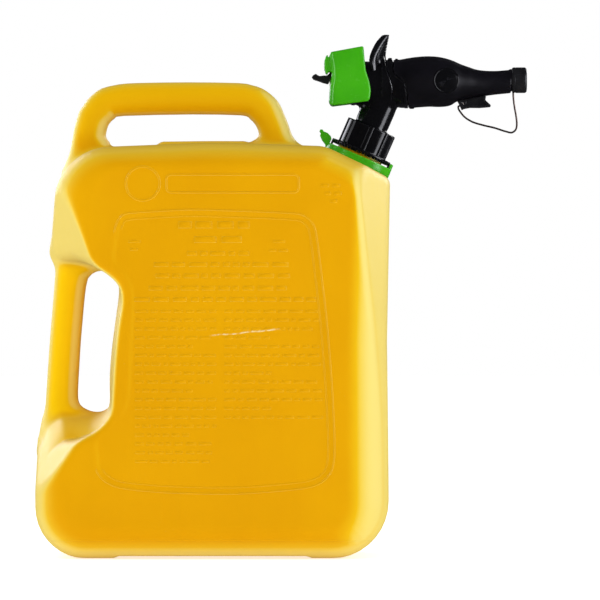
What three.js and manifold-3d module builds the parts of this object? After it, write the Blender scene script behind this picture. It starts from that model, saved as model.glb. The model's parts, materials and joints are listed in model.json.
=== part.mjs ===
// Safety gas can: a blow-moulded five gallon jug with a top handle, a rear hand grip, and a
// self-venting, valve-controlled pouring spout screwed to a tilted neck.
// Millimetres, +Z up, +X towards the spout (front). The origin is on the floor, under the middle
// of the overall length and width. Dimensions are given from the middle of the base.

import * as THREE from 'three';
import { mergeVertices } from 'three/addons/utils/BufferGeometryUtils.js';
import Module from 'manifold-3d';

const wasm = await Module();
wasm.setup();

// ---------- shared dimensions ----------
const MIDDLE = 59.65; // the base stands this far behind the origin, as the spout overhangs the front
const WALL = 2.5; // blow-moulded wall
const GAP = 0.3; // clearance between neighbouring pieces
const SLIP = 0.35; // clearance of pieces fitted round the barrel, nozzle and wire
const RISER_GAP = 0.4; // clearance round the spout riser

// the neck frame: its Z is the neck axis, which leaves the sloped shoulder at NECK_BASE
const NECK_BASE = [124.2, 0, 338.4];
const NECK_TILT = THREE.MathUtils.degToRad(23.5); // from vertical towards +X
const NECK_TOP = 26;
const THREAD_START = 14.5;
const THREAD_PITCH = 5;
const THREAD_TURNS = 1.25;
const THREAD_STEPS_PER_TURN = 20;
const THREAD_ROOT_WIDTH = 2.6;
const THREAD_TIP_WIDTH = 1.6;
const THREAD_SINK = 0.5; // how far a thread is sunk into the wall that carries it

const VALVE_Z = 408.6; // height of the valve axis, which runs along +X
const BARREL_R = 18.6;

// ---------- solids from geometry ----------
// a manifold from a closed geometry, turned right side out
function solid(geometry) {
  const bare = geometry.clone();
  for (const name of Object.keys(bare.attributes)) {
    if (name !== 'position') bare.deleteAttribute(name);
  }
  const merged = mergeVertices(bare, 1e-4);
  const position = merged.attributes.position;
  const index = merged.index.array;
  const vertex = (i) => new THREE.Vector3().fromBufferAttribute(position, i);
  const triangles = [];
  let volume = 0;
  for (let i = 0; i < index.length; i += 3) {
    const [a, b, c] = index.slice(i, i + 3);
    if (a === b || b === c || c === a) continue;
    triangles.push(a, b, c);
    volume += vertex(a).dot(vertex(b).cross(vertex(c)));
  }
  if (volume < 0) triangles.reverse();
  const mesh = new wasm.Mesh({
    numProp: 3,
    vertProperties: new Float32Array(position.array),
    triVerts: new Uint32Array(triangles),
  });
  mesh.merge();
  return new wasm.Manifold(mesh);
}

function geometryOf(manifold) {
  const mesh = manifold.getMesh();
  const geometry = new THREE.BufferGeometry();
  const positions = new Float32Array(mesh.vertProperties);
  geometry.setAttribute('position', new THREE.BufferAttribute(positions, 3));
  geometry.setIndex(new THREE.BufferAttribute(new Uint32Array(mesh.triVerts), 1));
  geometry.computeVertexNormals();
  return geometry;
}

const union = (...parts) => parts.reduce((whole, part) => whole.add(part));
const bothSides = (part) => part.add(part.mirror([0, 1, 0]));

// a closed [x, z] outline extruded along Y from y0 to y1, with its ends rounded by bevel and
// its outline moved in by inset
function slab(outline, y0, y1, { bevel = 0, inset = 0, steps = 2 } = {}) {
  const shape = new THREE.Shape(outline.map(([x, z]) => new THREE.Vector2(x, z)));
  const geometry = new THREE.ExtrudeGeometry(shape, {
    depth: y1 - y0 - 2 * bevel,
    bevelEnabled: bevel > 0,
    bevelThickness: bevel,
    bevelSize: bevel,
    bevelOffset: -bevel - inset,
    bevelSegments: steps,
  });
  geometry.rotateX(Math.PI / 2); // the shape's y becomes z
  geometry.computeBoundingBox();
  const { min, max } = geometry.boundingBox;
  geometry.translate(0, (y0 + y1) / 2 - (min.y + max.y) / 2, 0);
  return solid(geometry);
}

// a closed [radius, height] profile turned about Z, or about X with its height along X
function turned(profile, segments, axis = 'z') {
  const points = [...profile, profile[0]].map(([r, height]) => new THREE.Vector2(r, height));
  const geometry = new THREE.LatheGeometry(points, segments);
  if (axis === 'z') geometry.rotateX(Math.PI / 2);
  else geometry.rotateZ(-Math.PI / 2);
  return solid(geometry);
}

// cylinders and tubes along Z, and along X at height z
const sleeve = (innerR, outerR, start, end, segments, axis) => turned(
  [[innerR, start], [outerR, start], [outerR, end], [innerR, end]], segments, axis,
);
const rod = (radius, z0, z1, segments) => sleeve(0, radius, z0, z1, segments);
const sleeveX = (innerR, outerR, x0, x1, segments, z = VALVE_Z) => (
  sleeve(innerR, outerR, x0, x1, segments, 'x').translate([0, 0, z])
);
const rodX = (radius, x0, x1, segments, z) => sleeveX(0, radius, x0, x1, segments, z);

function block([x0, x1], [y0, y1], [z0, z1]) {
  const geometry = new THREE.BoxGeometry(x1 - x0, y1 - y0, z1 - z0);
  geometry.translate((x0 + x1) / 2, (y0 + y1) / 2, (z0 + z1) / 2);
  return solid(geometry);
}

// rings of equal length joined one after another, with a fan of triangles from an apex at each end
function loft(rings, apexes = [centreOf(rings[0]), centreOf(rings[rings.length - 1])]) {
  const count = rings[0].length;
  const positions = [...rings.flat(), ...apexes].flat();
  const index = [];
  for (let i = 0; i + 1 < rings.length; i++) {
    for (let j = 0; j < count; j++) {
      const here = i * count + j;
      const next = i * count + ((j + 1) % count);
      index.push(here, next, here + count, next, next + count, here + count);
    }
  }
  const lastRing = (rings.length - 1) * count;
  const firstApex = rings.length * count;
  for (let j = 0; j < count; j++) {
    const next = (j + 1) % count;
    index.push(firstApex, next, j);
    index.push(firstApex + 1, lastRing + j, lastRing + next);
  }
  const geometry = new THREE.BufferGeometry();
  geometry.setAttribute('position', new THREE.Float32BufferAttribute(positions, 3));
  geometry.setIndex(index);
  return solid(geometry);
}

// ---------- outlines ----------
function centreOf(points) {
  return points[0].map((_, k) => points.reduce((sum, point) => sum + point[k], 0) / points.length);
}

const atY = (outline, y) => outline.map(([x, z]) => [x, y, z]);
const blend = (from, to, amount) => from.map((point, i) => (
  point.map((value, k) => value + (to[i][k] - value) * amount)
));
const circle = ([x, z], radius, count) => Array.from({ length: count }, (_, i) => {
  const angle = (2 * Math.PI * i) / count;
  return [x + radius * Math.cos(angle), z + radius * Math.sin(angle)];
});

// a polygon of [x, z, radius] corners, each rounded by an arc of the given number of steps
function rounded(corners, steps) {
  const points = [];
  const count = corners.length;
  corners.forEach(([x, z, wantedRadius], i) => {
    const corner = new THREE.Vector2(x, z);
    const towards = ([nextX, nextZ]) => new THREE.Vector2(nextX, nextZ).sub(corner);
    const back = towards(corners[(i + count - 1) % count]);
    const ahead = towards(corners[(i + 1) % count]);
    const room = Math.min(back.length(), ahead.length()) * 0.48;
    back.normalize();
    ahead.normalize();
    const halfAngle = Math.acos(THREE.MathUtils.clamp(back.dot(ahead), -1, 1)) / 2;
    const reach = Math.min(wantedRadius / Math.tan(halfAngle), room);
    const radius = reach * Math.tan(halfAngle);
    const middle = back.clone().add(ahead).normalize()
      .multiplyScalar(radius / Math.sin(halfAngle)).add(corner);
    const from = back.clone().multiplyScalar(reach).add(corner).sub(middle);
    const to = ahead.clone().multiplyScalar(reach).add(corner).sub(middle);
    const start = Math.atan2(from.y, from.x);
    let turn = Math.atan2(to.y, to.x) - start;
    while (turn > Math.PI) turn -= 2 * Math.PI;
    while (turn < -Math.PI) turn += 2 * Math.PI;
    for (let k = 0; k <= steps; k++) {
      const angle = start + (turn * k) / steps;
      points.push([middle.x + radius * Math.cos(angle), middle.y + radius * Math.sin(angle)]);
    }
  });
  return points;
}

// a polygon with every edge moved inwards by a distance, keeping any corner radii
function movedIn(corners, distance) {
  if (distance === 0) return corners;
  const count = corners.length;
  let area = 0;
  for (let i = 0; i < count; i++) {
    const [a, b] = [corners[i], corners[(i + 1) % count]];
    area += a[0] * b[1] - b[0] * a[1];
  }
  const shift = Math.sign(area) * distance;
  const edge = (i) => {
    const [a, b] = [corners[(i + count) % count], corners[(i + 1) % count]];
    const along = new THREE.Vector2(b[0] - a[0], b[1] - a[1]).normalize();
    return { start: new THREE.Vector2(a[0] - along.y * shift, a[1] + along.x * shift), along };
  };
  return corners.map((corner, i) => {
    const before = edge(i - 1);
    const after = edge(i);
    const cross = before.along.cross(after.along);
    const meeting = after.start.clone();
    if (Math.abs(cross) >= 1e-6) {
      const reach = meeting.sub(before.start).cross(after.along) / cross;
      meeting.copy(before.start).add(before.along.clone().multiplyScalar(reach));
    }
    const point = [meeting.x, meeting.y];
    return corner.length > 2 ? [...point, Math.max(corner[2] - distance, 1)] : point;
  });
}

// ---------- neck frame, threads and wire ----------
const neckMatrix = new THREE.Matrix4().makeRotationY(NECK_TILT).setPosition(...NECK_BASE);
const onNeck = (part) => part.transform(neckMatrix.elements);

// copies of a part spread evenly about Z over a span of degrees, the first offset by part of a step
function spread(part, count, { offset = 0, span = 360 } = {}) {
  return Array.from({ length: count }, (_, i) => part.rotate([0, 0, (span * (i + offset)) / count]));
}

// a screw thread as one helical rib
function thread(wallR, tipR, startZ, fromTurn) {
  const rootR = wallR + Math.sign(wallR - tipR) * THREAD_SINK;
  const steps = Math.round(THREAD_TURNS * THREAD_STEPS_PER_TURN);
  const rings = [];
  for (let i = 0; i <= steps; i++) {
    const turn = fromTurn + (THREAD_TURNS * i) / steps;
    const angle = 2 * Math.PI * turn;
    const z = startZ + THREAD_PITCH * turn;
    const at = (r, rise) => [r * Math.cos(angle), r * Math.sin(angle), z + rise];
    rings.push([
      at(rootR, -THREAD_ROOT_WIDTH / 2),
      at(tipR, -THREAD_TIP_WIDTH / 2),
      at(tipR, THREAD_TIP_WIDTH / 2),
      at(rootR, THREAD_ROOT_WIDTH / 2),
    ]);
  }
  return loft(rings);
}

// round wire along a curve
function wire(curve, radius, steps, sides) {
  const shape = new THREE.Shape(circle([0, 0], radius, sides).map(([x, y]) => new THREE.Vector2(x, y)));
  return solid(new THREE.ExtrudeGeometry(shape, { steps, bevelEnabled: false, extrudePath: curve }));
}

// a helix; toPoint turns the distance along its axis and two offsets across it into [x, y, z]
class Coil extends THREE.Curve {
  constructor({ radius, length, turns, toPoint }) {
    super();
    Object.assign(this, { radius, length, turns, toPoint });
  }

  getPoint(t, target = new THREE.Vector3()) {
    const angle = 2 * Math.PI * this.turns * t;
    const across = [this.radius * Math.cos(angle), this.radius * Math.sin(angle)];
    return target.set(...this.toPoint(this.length * t, ...across));
  }
}

// a ring of round section about the valve axis
function oring(ringR, sectionR, x, segments) {
  const ring = new THREE.TorusGeometry(ringR, sectionR, 6, segments);
  ring.rotateY(Math.PI / 2);
  ring.translate(x, 0, VALVE_Z);
  return solid(ring);
}

// ---------- can shell ----------
const SIDE_FLAT_Y = 76.5; // half width where the side rounding starts
const SIDE_ROUND = 38; // depth of the side rounding
const CROWN = 3; // crown of the flat sides
const BASE_RAISE = 2.4; // how far the middle of the base stands off the floor
const GRIP_HALF_WIDTH = 17;
const GRIP_BEVEL = 10;
const HANDLE_HALF_WIDTH = 15;
const HANDLE_BEVEL = 9;
const INNER_BEVEL = 7; // of the hollows in grip and handle
const NECK_ROOT_R = 17.6;
const NECK_MAJOR_R = 18.9;
const NECK_SHOULDER_R = 20.3;
const NECK_SHOULDER_Z = 10.2;
const NECK_BORE_R = 15.2;

// outline of the can seen from the side, at the middle and at the side face: x, z, corner radius
const BODY_OUTLINE = [
  [-153, 0, 44], [-152.6, 86, 30], [-138.4, 262, 30], [-131, 352.5, 42],
  [97, 353, 25], [153.6, 325.4, 9], [150.4, 185, 200], [152.3, 0, 42],
];
const SIDE_OUTLINE = [
  [-116, 30, 16], [-116, 92, 10], [-103, 258, 10], [-96, 330, 20],
  [88, 331, 10], [118, 317, 8], [112, 185, 10], [112, 30, 14],
];
// opening in front of the rear grip, at the middle and towards the side faces: x, z
const OPENING_MIDDLE = [
  [-164.5, 254], [-130, 254], [-102.5, 250.6], [-90.4, 245.4], [-82.7, 237.6], [-80.5, 228.2],
  [-83.5, 204.1], [-87, 176.5], [-88.7, 152.4], [-88.7, 131.7], [-93, 125.7], [-102.5, 123.1],
  [-111.1, 123.1], [-130, 123.1], [-164.5, 123.1],
];
const OPENING_SIDE = [
  [-164.5, 263.5], [-136.9, 261.7], [-112, 255], [-97, 248], [-86, 241], [-78, 232],
  [-75.8, 219], [-79.2, 196], [-82, 170], [-84, 140], [-86, 124], [-95, 112],
  [-108, 104.5], [-125, 101], [-164.5, 99.9],
];
const OPENING_SIDE_Y = 65; // where the opening reaches its side outline
// rear grip, top handle and the hole under the handle: x, z
const GRIP_OUTLINE = [
  [-130, 277.2], [-134.7, 254], [-136.9, 228.2], [-138.6, 207.5], [-140.3, 186.8], [-142.1, 161],
  [-143.8, 135.2], [-145.1, 113.7], [-146, 90.4], [-95.6, 90.4], [-102.5, 113.7], [-111.1, 124],
  [-115.4, 130.9], [-116.2, 142.1], [-115, 166.2], [-113.7, 186.8], [-111.9, 207.5],
  [-110.2, 225.6], [-107.6, 239.4], [-101.6, 247.1], [-95.6, 254], [-95.6, 277.2],
];
const HANDLE_OUTLINE = [
  [-127.4, 324.6], [-124.8, 341.8], [-122.3, 352.1], [-119.7, 367.6], [-115.4, 383.1],
  [-111.9, 388.3], [-108.5, 393.5], [-103.3, 398.6], [-95.6, 403.8], [-80.9, 407.3],
  [-64.6, 408.5], [-21.5, 409.1], [22.4, 408.5], [33.6, 406.8], [43.1, 403.8], [50.8, 398.6],
  [56, 393.5], [59.4, 388.3], [62, 383.1], [67.2, 372.8], [71.5, 362.5], [78.4, 348.7],
  [85.2, 334.9], [25, 334.9], [-104.2, 324.6],
];
const HANDLE_OPENING = [
  [-90.4, 357.3], [-92.1, 362.5], [-91.3, 367.6], [-89.5, 372.8], [-84.4, 378], [-76.6, 380.1],
  [-18.1, 381.4], [25, 380.6], [31.9, 378], [37, 372.8], [39.6, 367.6], [40.5, 362.5],
  [37.9, 357.3], [33.6, 352.1], [-9.5, 348.7], [-85.2, 348.7],
];
// raised base between the feet, and the pad under the handle: x, z
const FOOT_GAP_OUTLINE = [
  [-84, -5], [-84, 0], [-79.5, BASE_RAISE], [82, BASE_RAISE], [86.5, 0], [86.5, -5],
];
const TOP_PAD_OUTLINE = [[-52, 346], [-45.6, 356.9], [30, 356.9], [36.4, 346]];

// flat facets on the -Y side, mirrored to +Y: outward normal, a point on the plane, range of z
const FACETS = [
  { normal: [0.9375, -0.3378, 0.083], point: [153, -38, 320], zRange: [-500, 900] },
  { normal: [-0.889, -0.334, -0.312], point: [-101, -114, 254], zRange: [215, 900] },
  { normal: [-0.796, -0.308, 0.521], point: [-111, -114, 104], zRange: [-500, 128] },
];

// the can without its openings; the hollow has its outline at the middle moved in by wall, and
// the side outline is kept but stands nearer the middle by wall
function canBlock({ wall, cornerSteps, levels, extraAngles = [] }) {
  const middle = rounded(movedIn(BODY_OUTLINE, wall), cornerSteps);
  const side = rounded(SIDE_OUTLINE, cornerSteps);
  const depth = SIDE_ROUND - wall;
  const angles = extraAngles.map((degrees) => THREE.MathUtils.degToRad(degrees));
  for (let i = 0; i <= levels; i++) angles.push(((Math.PI / 2) * i) / levels);
  const half = angles.sort((a, b) => a - b).map((angle) => ({
    outline: blend(middle, side, 1 - Math.cos(angle)),
    y: SIDE_FLAT_Y + depth * Math.sin(angle),
  }));
  // a smaller outline and an apex make the crown
  const sideY = SIDE_FLAT_Y + depth;
  const [x, z] = centreOf(side);
  half.push({
    outline: side.map(([sideX, sideZ]) => [x + (sideX - x) * 0.55, z + (sideZ - z) * 0.55]),
    y: sideY + CROWN * 0.9,
  });
  const rings = [
    ...[...half].reverse().map(({ outline, y }) => atY(outline, -y)),
    ...half.map(({ outline, y }) => atY(outline, y)),
  ];
  const apexY = sideY + CROWN;
  return loft(rings, [[x, -apexY, z], [x, apexY, z]]);
}

// a large block that fills the side of a plane its normal points to
function beyond(normal, point, zRange) {
  const geometry = new THREE.BoxGeometry(600, 600, 600);
  geometry.translate(300, 0, 0);
  const xAxis = new THREE.Vector3(1, 0, 0);
  geometry.applyQuaternion(new THREE.Quaternion().setFromUnitVectors(xAxis, normal));
  geometry.translate(...point);
  return solid(geometry).intersect(block([-400, 400], [-400, 400], zRange));
}

// cutters that narrow the front corners and the sides beside the rear grip
function facetCutters(depth) {
  return union(...FACETS.map(({ normal, point, zRange }) => {
    const outward = new THREE.Vector3(...normal).normalize();
    const moved = new THREE.Vector3(...point).addScaledVector(outward, -depth);
    return bothSides(beyond(outward, moved.toArray(), zRange));
  }));
}

function gripOpening(grow, levels) {
  const middle = movedIn(OPENING_MIDDLE, -grow);
  const side = movedIn(OPENING_SIDE, -grow);
  return loft(levels.map((y) => (
    atY(blend(middle, side, Math.min(1, (y / OPENING_SIDE_Y) ** 2)), y)
  )));
}

// the cutter for an opening through a handle, whose rims are rounded by bevel
function flaredCutter(outline, halfWidth, bevel) {
  // y, outline growth
  const stations = [
    [halfWidth + 2, bevel],
    [halfWidth, bevel],
    [halfWidth - bevel * 0.29, bevel * 0.29],
    [halfWidth - bevel, 0],
  ];
  const ring = ([y, grow], side) => atY(movedIn(outline, -grow), y * side);
  return loft([
    ...stations.map((station) => ring(station, -1)),
    ...[...stations].reverse().map((station) => ring(station, 1)),
  ]);
}

function canOutside() {
  const body = canBlock({
    wall: 0,
    cornerSteps: 4,
    levels: 3,
    extraAngles: [3, 4.7, 6.2], // these soften the turn from the flat base into the sides
  })
    .subtract(facetCutters(0))
    .subtract(gripOpening(0, [-130, -65, -40, -20, 0, 20, 40, 65, 130]))
    .subtract(slab(FOOT_GAP_OUTLINE, -130, 130));
  const handle = slab(HANDLE_OUTLINE, -HANDLE_HALF_WIDTH, HANDLE_HALF_WIDTH, { bevel: HANDLE_BEVEL })
    .subtract(flaredCutter(HANDLE_OPENING, HANDLE_HALF_WIDTH, HANDLE_BEVEL));
  const neck = union(
    turned([
      [0, -6], [NECK_SHOULDER_R, -6], [NECK_SHOULDER_R, NECK_SHOULDER_Z],
      [NECK_ROOT_R, NECK_SHOULDER_Z], [NECK_ROOT_R, NECK_TOP], [0, NECK_TOP],
    ], 32),
    thread(NECK_ROOT_R, NECK_MAJOR_R, THREAD_START, 0),
  );
  return union(
    body,
    slab(GRIP_OUTLINE, -GRIP_HALF_WIDTH, GRIP_HALF_WIDTH, { bevel: GRIP_BEVEL }),
    handle,
    slab(TOP_PAD_OUTLINE, -24, 24),
    onNeck(neck),
  );
}

function canCavity() {
  const body = canBlock({ wall: WALL, cornerSteps: 3, levels: 2 })
    .subtract(facetCutters(WALL))
    .subtract(gripOpening(WALL, [-130, -65, -35, 0, 35, 65, 130]))
    .subtract(block([-86, 89], [-200, 200], [-10, BASE_RAISE + WALL]));
  const hollow = { bevel: INNER_BEVEL, inset: WALL, steps: 1 };
  const gripY = GRIP_HALF_WIDTH - WALL;
  const handleY = HANDLE_HALF_WIDTH - WALL;
  return union(
    body,
    slab(GRIP_OUTLINE, -gripY, gripY, hollow),
    slab(HANDLE_OUTLINE, -handleY, handleY, hollow)
      .subtract(flaredCutter(movedIn(HANDLE_OPENING, -WALL), handleY, INNER_BEVEL)),
    onNeck(rod(NECK_BORE_R, -16, NECK_TOP + 5, 32)),
  );
}

const canShell = () => canOutside().subtract(canCavity());

// ---------- neck pieces, in the neck frame ----------
const SCREEN_R = 14.8;
const SCREEN_BOTTOM = -48;
const RING_BORE_R = 20.7;
const RING_RIM_R = 27.9; // inside of the raised rim
const RING_R = 30.2;
const COLLAR_ROOT_R = 19.25;
const COLLAR_MINOR_R = 17.95;
const COLLAR_R = 20.7;
const COLLAR_RIB_R = 22.2;
const COLLAR_FLANGE_R = 27.2;
const COLLAR_RIBS = 8;
const COLLAR_TEETH = 12;

// turned profiles: radius, z
const LOCK_RING_PROFILE = [
  [RING_BORE_R, -4], [RING_R, -4], [RING_R, 6], [RING_RIM_R, 6], [RING_RIM_R, 4.2],
  [RING_BORE_R, 4.2],
];
const COLLAR_PROFILE = [
  [COLLAR_ROOT_R, 10.9], [COLLAR_FLANGE_R, 10.9], [COLLAR_FLANGE_R, 12.9], [COLLAR_R, 12.9],
  [COLLAR_R, 34.7], [15, 34.7], [15, 31], [COLLAR_ROOT_R, 31],
];
const SPOUT_BASE_PROFILE = [
  [12.7, 19], [14.2, 19], [14.2, 28.1], [17.7, 28.1], [17.7, 30.6], [12.7, 30.6],
];
// release lever, at the rear of the lock ring: x, z
const LEVER_OUTLINE = [
  [-27.95, 3.3], [-30.2, 3.3], [-30.4, 5.8], [-31.1, 5.8], [-37.1, 9.4], [-39.6, 12.9],
  [-38.7, 15], [-29.2, 13.8], [-27.95, 12.6],
];

// a closed-bottomed cup with eight slots
function flameScreen() {
  const slot = block([-20, 20], [-1.6, 1.6], [-42, 6]); // passes through two opposite walls
  return sleeve(13.4, SCREEN_R, SCREEN_BOTTOM, 17, 24)
    .add(rod(SCREEN_R, SCREEN_BOTTOM, -46.6, 24))
    .subtract(union(...spread(slot, 4, { offset: 0.5, span: 180 })));
}

// a ring bedded on the can shoulder, with a raised wall in front and a slot behind
function lockRing() {
  const shoulder = slab(movedIn(rounded(BODY_OUTLINE, 4), -0.45), -60, 60)
    .transform(neckMatrix.clone().invert().elements);
  const frontWall = sleeve(RING_RIM_R, RING_R, 4, 12, 40)
    .intersect(block([0, 40], [-7.5, 7.5], [0, 20]));
  return turned(LOCK_RING_PROFILE, 40)
    .add(frontWall)
    .subtract(shoulder)
    .subtract(block([-40, -27.4], [-7, 7], [-10, 20]));
}

const releaseLever = () => slab(LEVER_OUTLINE, -6.5, 6.5);

function screwCollar() {
  const rib = block([19.9, COLLAR_RIB_R], [-1.6, 1.6], [12.5, 35]);
  const tooth = block([22.5, 24.5], [-1.4, 1.4], [9.4, 11.4]);
  const lugs = sleeve(25.5, COLLAR_FLANGE_R, 7, 11.4, 32)
    .intersect(block([-40, 40], [-3, 3], [5, 15]));
  return union(
    turned(COLLAR_PROFILE, 32),
    ...spread(rib, COLLAR_RIBS),
    ...spread(tooth, COLLAR_TEETH, { offset: 0.5 }),
    lugs,
    thread(COLLAR_ROOT_R, COLLAR_MINOR_R, 12, 0.1),
  );
}

const neckGasket = () => sleeve(14.6, 17.5, NECK_TOP + GAP, 27.8, 32);
const spoutBase = () => turned(SPOUT_BASE_PROFILE, 32);

// ---------- elbow housing ----------
const CHAMBER_R = 15.6;
const STEM_R = 3;

// the pipe that rises from the neck into the barrel, in can coordinates
const riser = (grow) => onNeck(union(
  rod(14.3 + grow, 30.9 - grow, 36, 28),
  rod(14.35 + grow, 35.2, 70, 28).translate([-1.05, 0, 0]),
));

function elbowHousing() {
  return union(
    rodX(BARREL_R, 120, 157, 32),
    rodX(17.2, 156, 168, 32),
    riser(0),
    onNeck(rod(12.4, 18, 32, 28)),
  )
    .subtract(rodX(CHAMBER_R, 131, 170, 28)) // chamber in front of the inner wall
    .subtract(rodX(CHAMBER_R, 118, 127, 28)) // and behind it
    .subtract(rodX(STEM_R + 0.4, 125, 133, 16))
    .subtract(rodX(5.6, 128.8, 133, 20)) // pocket for the stem O-ring
    .subtract(sleeveX(16.2, 22, 162.8, 166, 32)) // groove for the nozzle O-ring
    .subtract(onNeck(rod(10.5, 15, 72, 24)));
}

// ---------- nozzle and finger guard ----------
const NOZZLE_WALL = 2.2;
const NOZZLE_SIDES = 22;
const TIP_Z = 411;
const TIP_R = 11.1;
const TIP_BORE_R = 7.4;
const HOOK_STUDS_X = [218.5, 230];
const HOOK_STUD_R = 1.5;
const WIRE_R = 0.6;
const WIRE_PIVOT = [216.8, 390.8]; // x, z
const VENT_R = 2.2;
const VENT_Z = 413;
const CARRIER_Z = 409.9;

// nozzle outside: x, centre height, radius
const NOZZLE_RINGS = [
  [149, 408.5, 20.1], [156.7, 408.2, 20.2], [162.7, 408, 20.9], [168.8, 408.3, 21.7],
  [175.6, 409.1, 21.9], [188.6, 409.9, 21.8], [195.4, 409.9, 21.3], [201.5, 410, 20],
  [208.4, 409.7, 18.1], [214.4, 409.2, 15.9], [221.3, 408.6, 14], [228.2, 408.1, 12.2],
  [235.1, 408.2, 11.1], [243, 408.6, 10.4], [258.3, 409.9, 10.1],
];
// stepped seam between the locking ring and the nozzle, and front edge of the guard cuff: x, z
const NOZZLE_SEAM = [
  [156.4, 440], [156.4, 427.4], [159, 414.2], [164.3, 410.3], [167.5, 400.4], [169.5, 388.6],
  [170.5, 378],
];
const CUFF_EDGE = [
  [149.2, 440], [149.2, 429], [151.2, 418], [154, 410], [155.6, 404], [155.4, 397], [154, 378],
];
// shield above the cuff: height, x at the middle, x at the sides, half width
const SAIL_LEVELS = [
  [418, 147.2, 140.5, 16.5],
  [430, 148.9, 138.6, 15],
  [438, 150.7, 141.4, 11.5],
  [445, 152.1, 145.6, 7.5],
  [450.3, 153.2, 150.4, 3.6],
];
const SAIL_THICKNESS = 2.1;
// nozzle tip ring: radius, x
const TIP_PROFILE = [
  [9.9, 258.9], [TIP_R, 258.9], [TIP_R, 270.6], [TIP_R - 1, 272.1], [7, 272.1], [7, 270.2],
  [9.9, 270.2],
];
// hook under the nozzle: x, z
const HOOK_OUTLINE = [
  [212.2, 392.6], [212.2, 398], [236.8, 401], [236.8, 397], [236.3, 393.7], [241, 389.3],
  [240.6, 387.7], [231.6, 386.9], [223, 387], [217.8, 386], [215.8, 384.9], [214.8, 387.5],
];
// centre line of the wire spring, from the hook to the nozzle tip: x, y, z
const WIRE_PATH = [
  [216.8, -3.6, 390.8], [216.8, 0, 390.8], [216.8, 5, 390.8], [216.2, 6.6, 390.4],
  [214.8, 6.6, 389.4], [213.1, 5.2, 388.4], [212.9, 3, 387.2], [213.4, 0.9, 385.5],
  [214.9, 0, 383.2], [218.2, 0, 379.3], [224.7, 0, 375.1], [235, 0, 371.9], [244.3, 0, 369.7],
  [253.7, 0, 366.7], [259.2, 0, 365.7], [262.5, 0, 368.1], [263.5, 0, 372.3],
  [262.9, 0, 379.8], [261.6, 0, 387.3], [260.7, 0, 394], [260.3, 0, 400.6],
];

// everything between an edge, moved along X by shift, and farX
function edgeTo(edge, farX, shift = 0) {
  const moved = edge.map(([x, z]) => [x + shift, z]);
  return slab([...moved, [farX, edge[edge.length - 1][1]], [farX, edge[0][1]]], -60, 60);
}

const nozzleSkin = (grow, sides = NOZZLE_SIDES) => loft(NOZZLE_RINGS.map(([x, centreZ, radius]) => (
  circle([0, centreZ], radius + grow, sides).map(([y, z]) => [x, y, z])
)));
const uprightPin = (x, radius, z0, z1) => rod(radius, z0, z1, 10).translate([x, 0, 0]);
const hookStuds = (radius, z0, z1) => (
  union(...HOOK_STUDS_X.map((x) => uprightPin(x, radius, z0, z1)))
);

// a cuff round the barrel with a sail-shaped shield above it
function fingerGuard() {
  const sail = loft(SAIL_LEVELS.map(([z, middleX, sideX, halfWidth]) => {
    const front = [];
    const rear = [];
    for (let i = 0; i <= 8; i++) {
      const across = -1 + (2 * i) / 8;
      const x = middleX - (middleX - sideX) * across * across;
      front.push([x, halfWidth * across, z]);
      rear.push([x - SAIL_THICKNESS, halfWidth * across * 0.86, z]);
    }
    return [...front, ...rear.reverse()];
  }));
  return sleeveX(BARREL_R + SLIP, 20.5, 146.2, 158, 32)
    .intersect(edgeTo(CUFF_EDGE, 140))
    .add(sail)
    .subtract(rodX(BARREL_R + SLIP, 110, 170, 32))
    .subtract(riser(RISER_GAP));
}

function nozzleLockRing() {
  return nozzleSkin(0)
    .intersect(edgeTo(NOZZLE_SEAM, 140, -GAP / 2))
    .intersect(edgeTo(CUFF_EDGE, 200, 0.5))
    .subtract(rodX(BARREL_R + GAP, 140, 175, 32))
    .subtract(riser(RISER_GAP));
}

const nozzleOring = () => oring(17.15, 0.8, 164.4, 28);

function nozzleTube() {
  return nozzleSkin(0)
    .intersect(edgeTo(NOZZLE_SEAM, 300, GAP / 2))
    .subtract(nozzleSkin(-NOZZLE_WALL, 14))
    .subtract(rodX(BARREL_R + SLIP, 150, 157.6, 32))
    .add(sleeveX(TIP_BORE_R, 9.6, 256.5, 268, 24, TIP_Z))
    .subtract(rodX(TIP_BORE_R, 254, 270, 24, TIP_Z))
    .subtract(riser(RISER_GAP))
    .subtract(hookStuds(HOOK_STUD_R + GAP, 388, 402))
    .subtract(uprightPin(260.3, 1.5, 396, 405)); // hole for the end of the wire
}

function nozzleTip() {
  return turned(TIP_PROFILE, 28, 'x')
    .translate([0, 0, TIP_Z])
    .subtract(uprightPin(260.7, 1.8, 396, 405)); // clears the wire
}

function fillerHook() {
  const [x, z] = WIRE_PIVOT;
  const slot = WIRE_R + SLIP;
  return slab(HOOK_OUTLINE, -5, 5)
    .subtract(nozzleSkin(SLIP))
    .add(hookStuds(HOOK_STUD_R, 391, 398.4))
    .subtract(block([x - slot, x + slot], [-4.2, 6], [z - slot, z + slot]));
}

function wireSpring() {
  const points = WIRE_PATH.map((point) => new THREE.Vector3(...point));
  return wire(new THREE.CatmullRomCurve3(points, false, 'centripetal'), WIRE_R, 56, 5);
}

const ventTube = () => sleeveX(1.3, VENT_R, 186, 266, 14, VENT_Z);

// a disc cut down to an upright bar
function ventTubeCarrier() {
  return rodX(18.6, 188.9, 191.4, 22, CARRIER_Z)
    .subtract(rodX(VENT_R + GAP, 180, 200, 14, VENT_Z))
    .subtract(bothSides(block([180, 200], [3.8, 14], [400, 420])));
}

// ---------- pour valve ----------
const SCREW_R = 1.5;

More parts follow.
